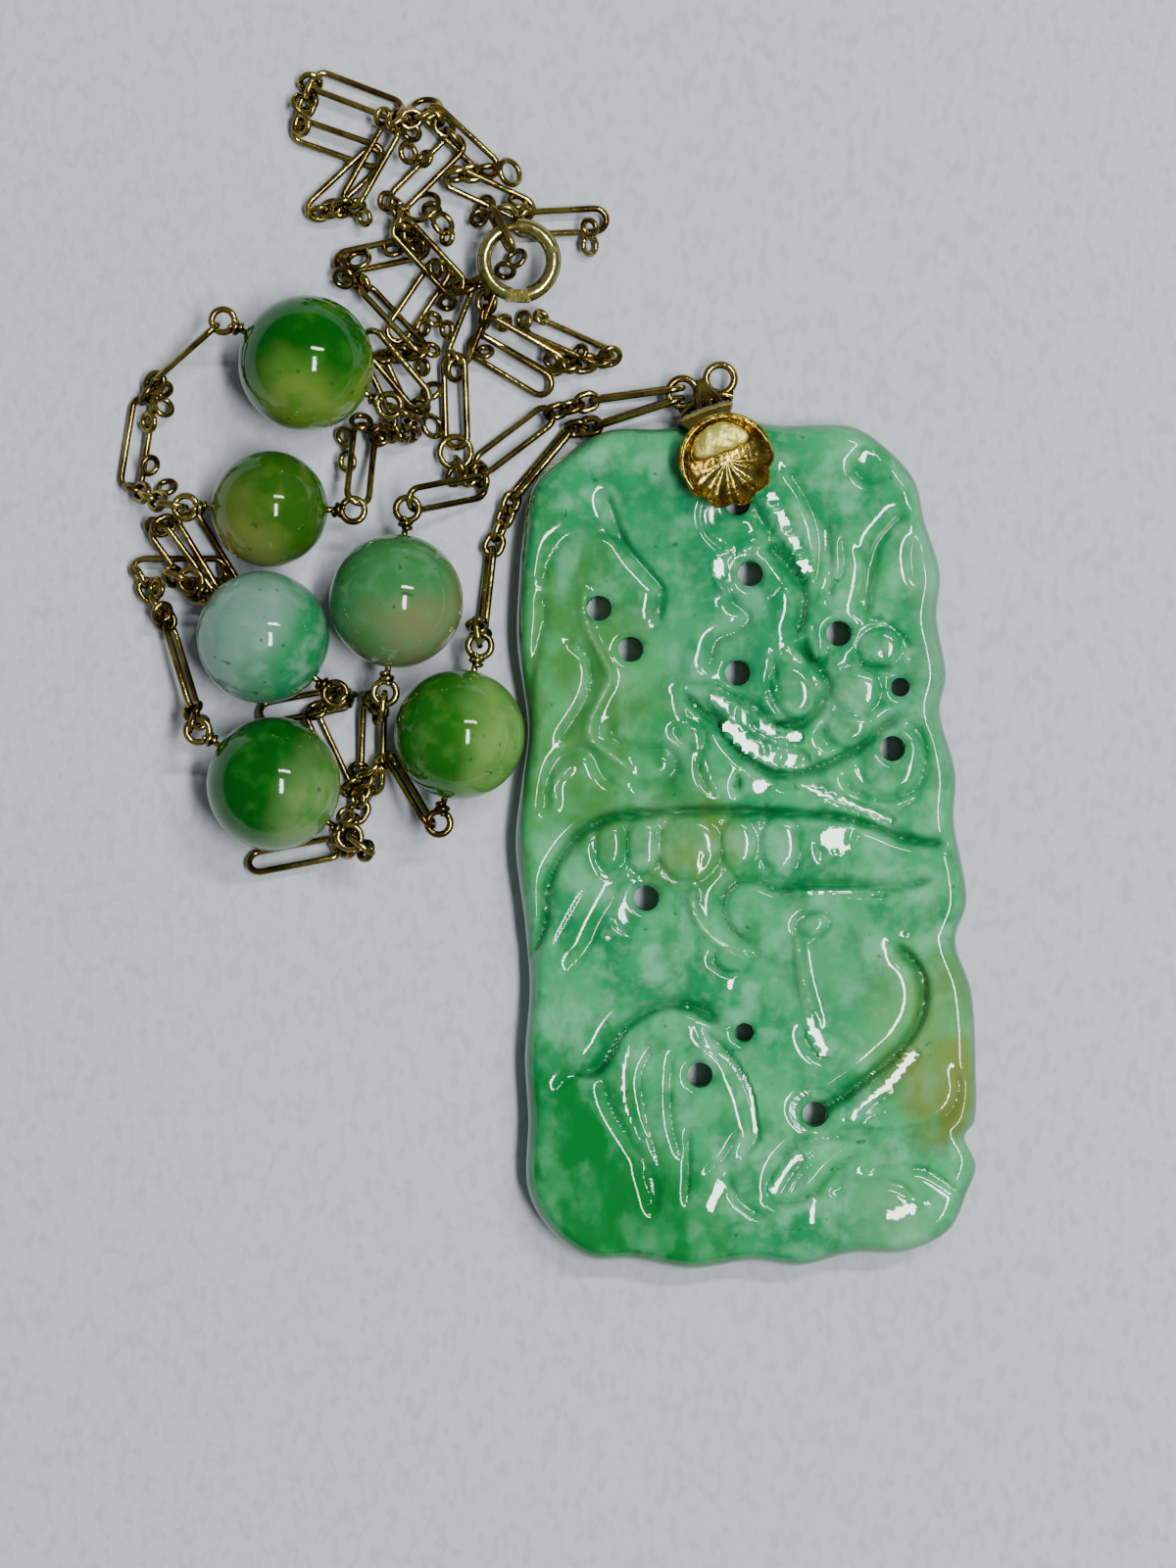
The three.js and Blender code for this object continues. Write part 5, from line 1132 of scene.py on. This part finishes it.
def bead_6_to_bead_3():
    first = long_link(-36.3, 11.6, 108, 75, 2.2, 0.95)
    second = long_link(-36.5, 17.8, 0, 20)
    third = long_link(-34.6, 18.9, 121, 25, 0.9, 1.5)
    fourth = long_link(-36.2, 18.1, -54, 35, 1.9, 1.5)
    free = free_link(pin_loop(2, False), 160, 90)
    strand("chain_left_of_beads", "chain_bead_6_to_bead_3", [first, second, third, fourth], [free], [
        (pin_bearing(5, False, 145), head(first)),
        (tail(first), head(second)),
        (tail(second), head(third)),
        (tail(third), head(fourth)),
        (tail(fourth), tail(free)),
    ], [5], [
        (-38.1, 20.6, 1.5), (-34.4, 16.6, 1.4), (-37.9, 16.6, 1.5), (-37.5, 15.0, 1.6), (-35.2, 8.0, 1.4),
    ])


def bead_1_to_bead_2():
    first = long_link_from(pin_bearing(0, False, 215)["point"], 217, 80, 1.2)
    second = long_link(-39.2, 25.9, -99, 20)
    free = free_link(pin_loop(1, False), 170, 90)
    strand("chain_upper_left", "chain_bead_1_to_bead_2", [first, second], [free], [
        (tail(first), head(second)),
        (tail(second), tail(free)),
    ], [0], [
        (-37.6, 29.4, 1.5), (-37.5, 28.2, 1.6), (-38.4, 27.2, 1.5), (-38.3, 24.4, 1.5), (-37.3, 23.1, 1.5),
    ])


def heap():
    lower_outer = long_link(-22.8, 28.8, 115, 35, GROUND, 1.1)
    bronze = long_link(-22.7, 33.8, 133, 60, 1.7, 1.2)
    left_low = long_link(-23.5, 38.0, 12, 25)
    crossing = long_link(-20.5, 37.7, -47, 10, 2.0, 2.0)
    upright = long_link(-17.7, 33.7, -112, 10, 2.1, 1.2)
    drop = long_link(-18.8, 28.6, -88, 20, 1.2, GROUND)
    top_lean = long_link(-24.2, 43.6, -120, 30, 1.8, 1.3)
    top_loose = long_link(-25.9, 42.5, 43, 20)
    top_outer = long_link(-25.1, 48.2, 159, 25)
    top_inner = long_link(-26.3, 45.1, -19, 25)
    ridge = long_link(-18.4, 45.2, -43, 35, 1.2, 1.2)
    behind_ridge = long_link(-20.6, 43.3, -135, 15)
    clasp_left = long_link(-16.6, 41.8, -24, 20, 1.6, 0.9)
    clasp_right = long_link(-12.1, 40.1, 3, 15)
    right_upper = long_link(-14.5, 32.1, -29, 30, 1.5, 0.8)
    right_long = long_link(-11.5, 32.4, 156, 30)
    from_bead_2 = long_link_from(pin_bearing(1, True, 60)["point"], 86, 20, GROUND)
    free = free_link(pin_loop(0, True), -27, 90)
    beside_bronze = long_link(-22.6, 30.5, -50, 15, 2.4, 2.4)
    beneath = long_link(-21.2, 35.0, 56, 10)
    right_low = long_link(-15.3, 30.9, -31, 12)
    links = [
        lower_outer, bronze, left_low, crossing, upright, drop, top_lean, top_loose, top_outer,
        top_inner, ridge, behind_ridge, clasp_left, clasp_right, right_upper, right_long, from_bead_2,
        beside_bronze, beneath, right_low,
    ]
    loose = [
        (-28.1, 49, 1.7), (-28.6, 47.6, 1.7), (-28.6, 46.2, 1.6), (-23.4, 46.7, 1.4), (-20.7, 47.3, 2.3),
        (-21.6, 45.8, 1.5), (-21.8, 44.4, 1.6), (-20.7, 44, 1.3), (-25.2, 41, 1.5), (-26.2, 40.8, 1.4),
        (-24.6, 40.3, 1.3), (-23.2, 41.3, 1.4), (-20.9, 41, 2.6), (-20.3, 40.8, 1.4), (-19.6, 39.9, 1.8),
        (-19.3, 39, 1.3), (-22.1, 39.5, 1.3), (-22.8, 38.3, 1.5), (-21.2, 38.5, 1.4), (-20, 37, 1.4),
        (-19.1, 36.3, 1.3), (-19.3, 34.9, 1.4), (-20.2, 33.8, 1.3), (-19.3, 33.1, 1.3), (-20.9, 33.3, 1.3),
        (-25, 37.6, 1.8), (-25.9, 36.4, 1.7), (-15.3, 43.1, 2), (-16.9, 41, 1.8), (-17.3, 40.3, 1.4),
        (-14.8, 41.3, 1.4), (-10.2, 39.6, 1.4), (-10.2, 38.6, 1.5), (-14.9, 37.7, 1.6), (-15.6, 36.9, 1.5),
        (-13.3, 33.9, 1.2), (-14.4, 33.8, 1.4), (-15.7, 33.6, 1.3), (-16.9, 31.7, 1.3), (-12.6, 31.1, 1.3),
        (-11.5, 31, 1.4), (-10.8, 31.7, 1.3), (-8.9, 31.4, 1.7), (-20.3, 31.8, 1.3), (-20.9, 30.8, 1.3),
        (-18.7, 30.6, 1.8), (-20.3, 29.2, 1.6), (-21, 28.2, 1.4), (-20.3, 27, 1.8), (-23, 27.2, 1.4),
        (-23.6, 26.3, 1.6), (-24.8, 27.2, 1.6), (-25.9, 26.3, 1.5), (-25.7, 24.7, 1.5), (-18.7, 23.8, 1.8),
    ]
    clasp_hook = wire_loop((-16.5, 40.6, 3.4), (-15.1, 37.9, 4.0), 1.5, 70)
    runs = [
        (tail(from_bead_2), head(lower_outer)),
        (tail(free), head(lower_outer)),
        (tail(lower_outer), head(bronze)),
        (tail(bronze), head(left_low)),
        (tail(left_low), head(crossing)),
        (tail(crossing), head(upright)),
        (tail(upright), head(drop)),
        (tail(behind_ridge), head(crossing)),
        (head(ridge), head(behind_ridge)),
        (head(top_lean), head(ridge)),
        (head(top_lean), head(top_outer)),
        (tail(top_outer), head(top_inner)),
        (tail(top_lean), head(top_loose)),
        (tail(ridge), head(clasp_left)),
        (tail(clasp_left), head(clasp_right)),
        (head(upright), head(right_upper)),
        (tail(right_upper), head(right_long)),
    ]
    ring = flat_ring(CORNER_RING_PLACE, CORNER_RING)
    strand("chain_heap_gold", "chain_heap", links, [free], runs, [1], loose, [ring, clasp_hook])


bail_to_bead_4()
bail_to_bead_5()
bead_3_to_bead_5()
bead_4_to_bead_6()
bead_6_to_bead_3()
bead_1_to_bead_2()
heap()


# Clasp
# A spring ring of pale gold tube: a fixed tube, a sliding part on the left with
# its thumb lever, a bare tag soldered at the bottom and a small eye for the chain.
CLASP_DIAMETER = 5.4
CLASP_TUBE = 1.0
SLIDING_TUBE = 0.9
CLASP_TONGUE = 0.6
CLASP_EYE = 1.9
CLASP_PLACE = Vector((-14.7, 37.3, 3.3))


def clasp():
    pale = gold_finish("clasp_gold", paint(220, 212, 130), paint(176, 164, 84), 0.1)
    radius = (CLASP_DIAMETER - CLASP_TUBE) / 2

    def arc(first, last, thickness):
        angles = np.radians(np.linspace(first, last, 60))
        way = [CLASP_PLACE + Vector((radius * math.cos(a), radius * math.sin(a), 0)) for a in angles]
        return swept(way, thickness, sides=20)

    parts = [arc(92, -74, CLASP_TUBE), arc(-102, -240, SLIDING_TUBE), arc(88, 124, CLASP_TONGUE)]
    tag = ((-0.85, -2.62), (0.72, -2.66), (0.66, -1.86), (-0.72, -1.84))
    corners = [CLASP_PLACE + Vector((x, y, z)) for z in (0.44, -0.3) for x, y in tag]
    parts.append((corners, ring_faces(2, 4)))
    eye = CLASP_PLACE + Vector((-0.9, CLASP_DIAMETER / 2 + 0.1, -0.2))
    parts.append(flat_ring(eye, CLASP_EYE, WIRE, (math.radians(36), 0)))
    lever = [CLASP_PLACE + Vector((radius, 0.6, rise)) for rise in (0, 0.6, 0.9)]
    parts.append(swept(lever, 0.5, sides=14))
    piece("clasp", *welded(parts), pale, "spring_ring_clasp", "gold", sharp=50)


clasp()
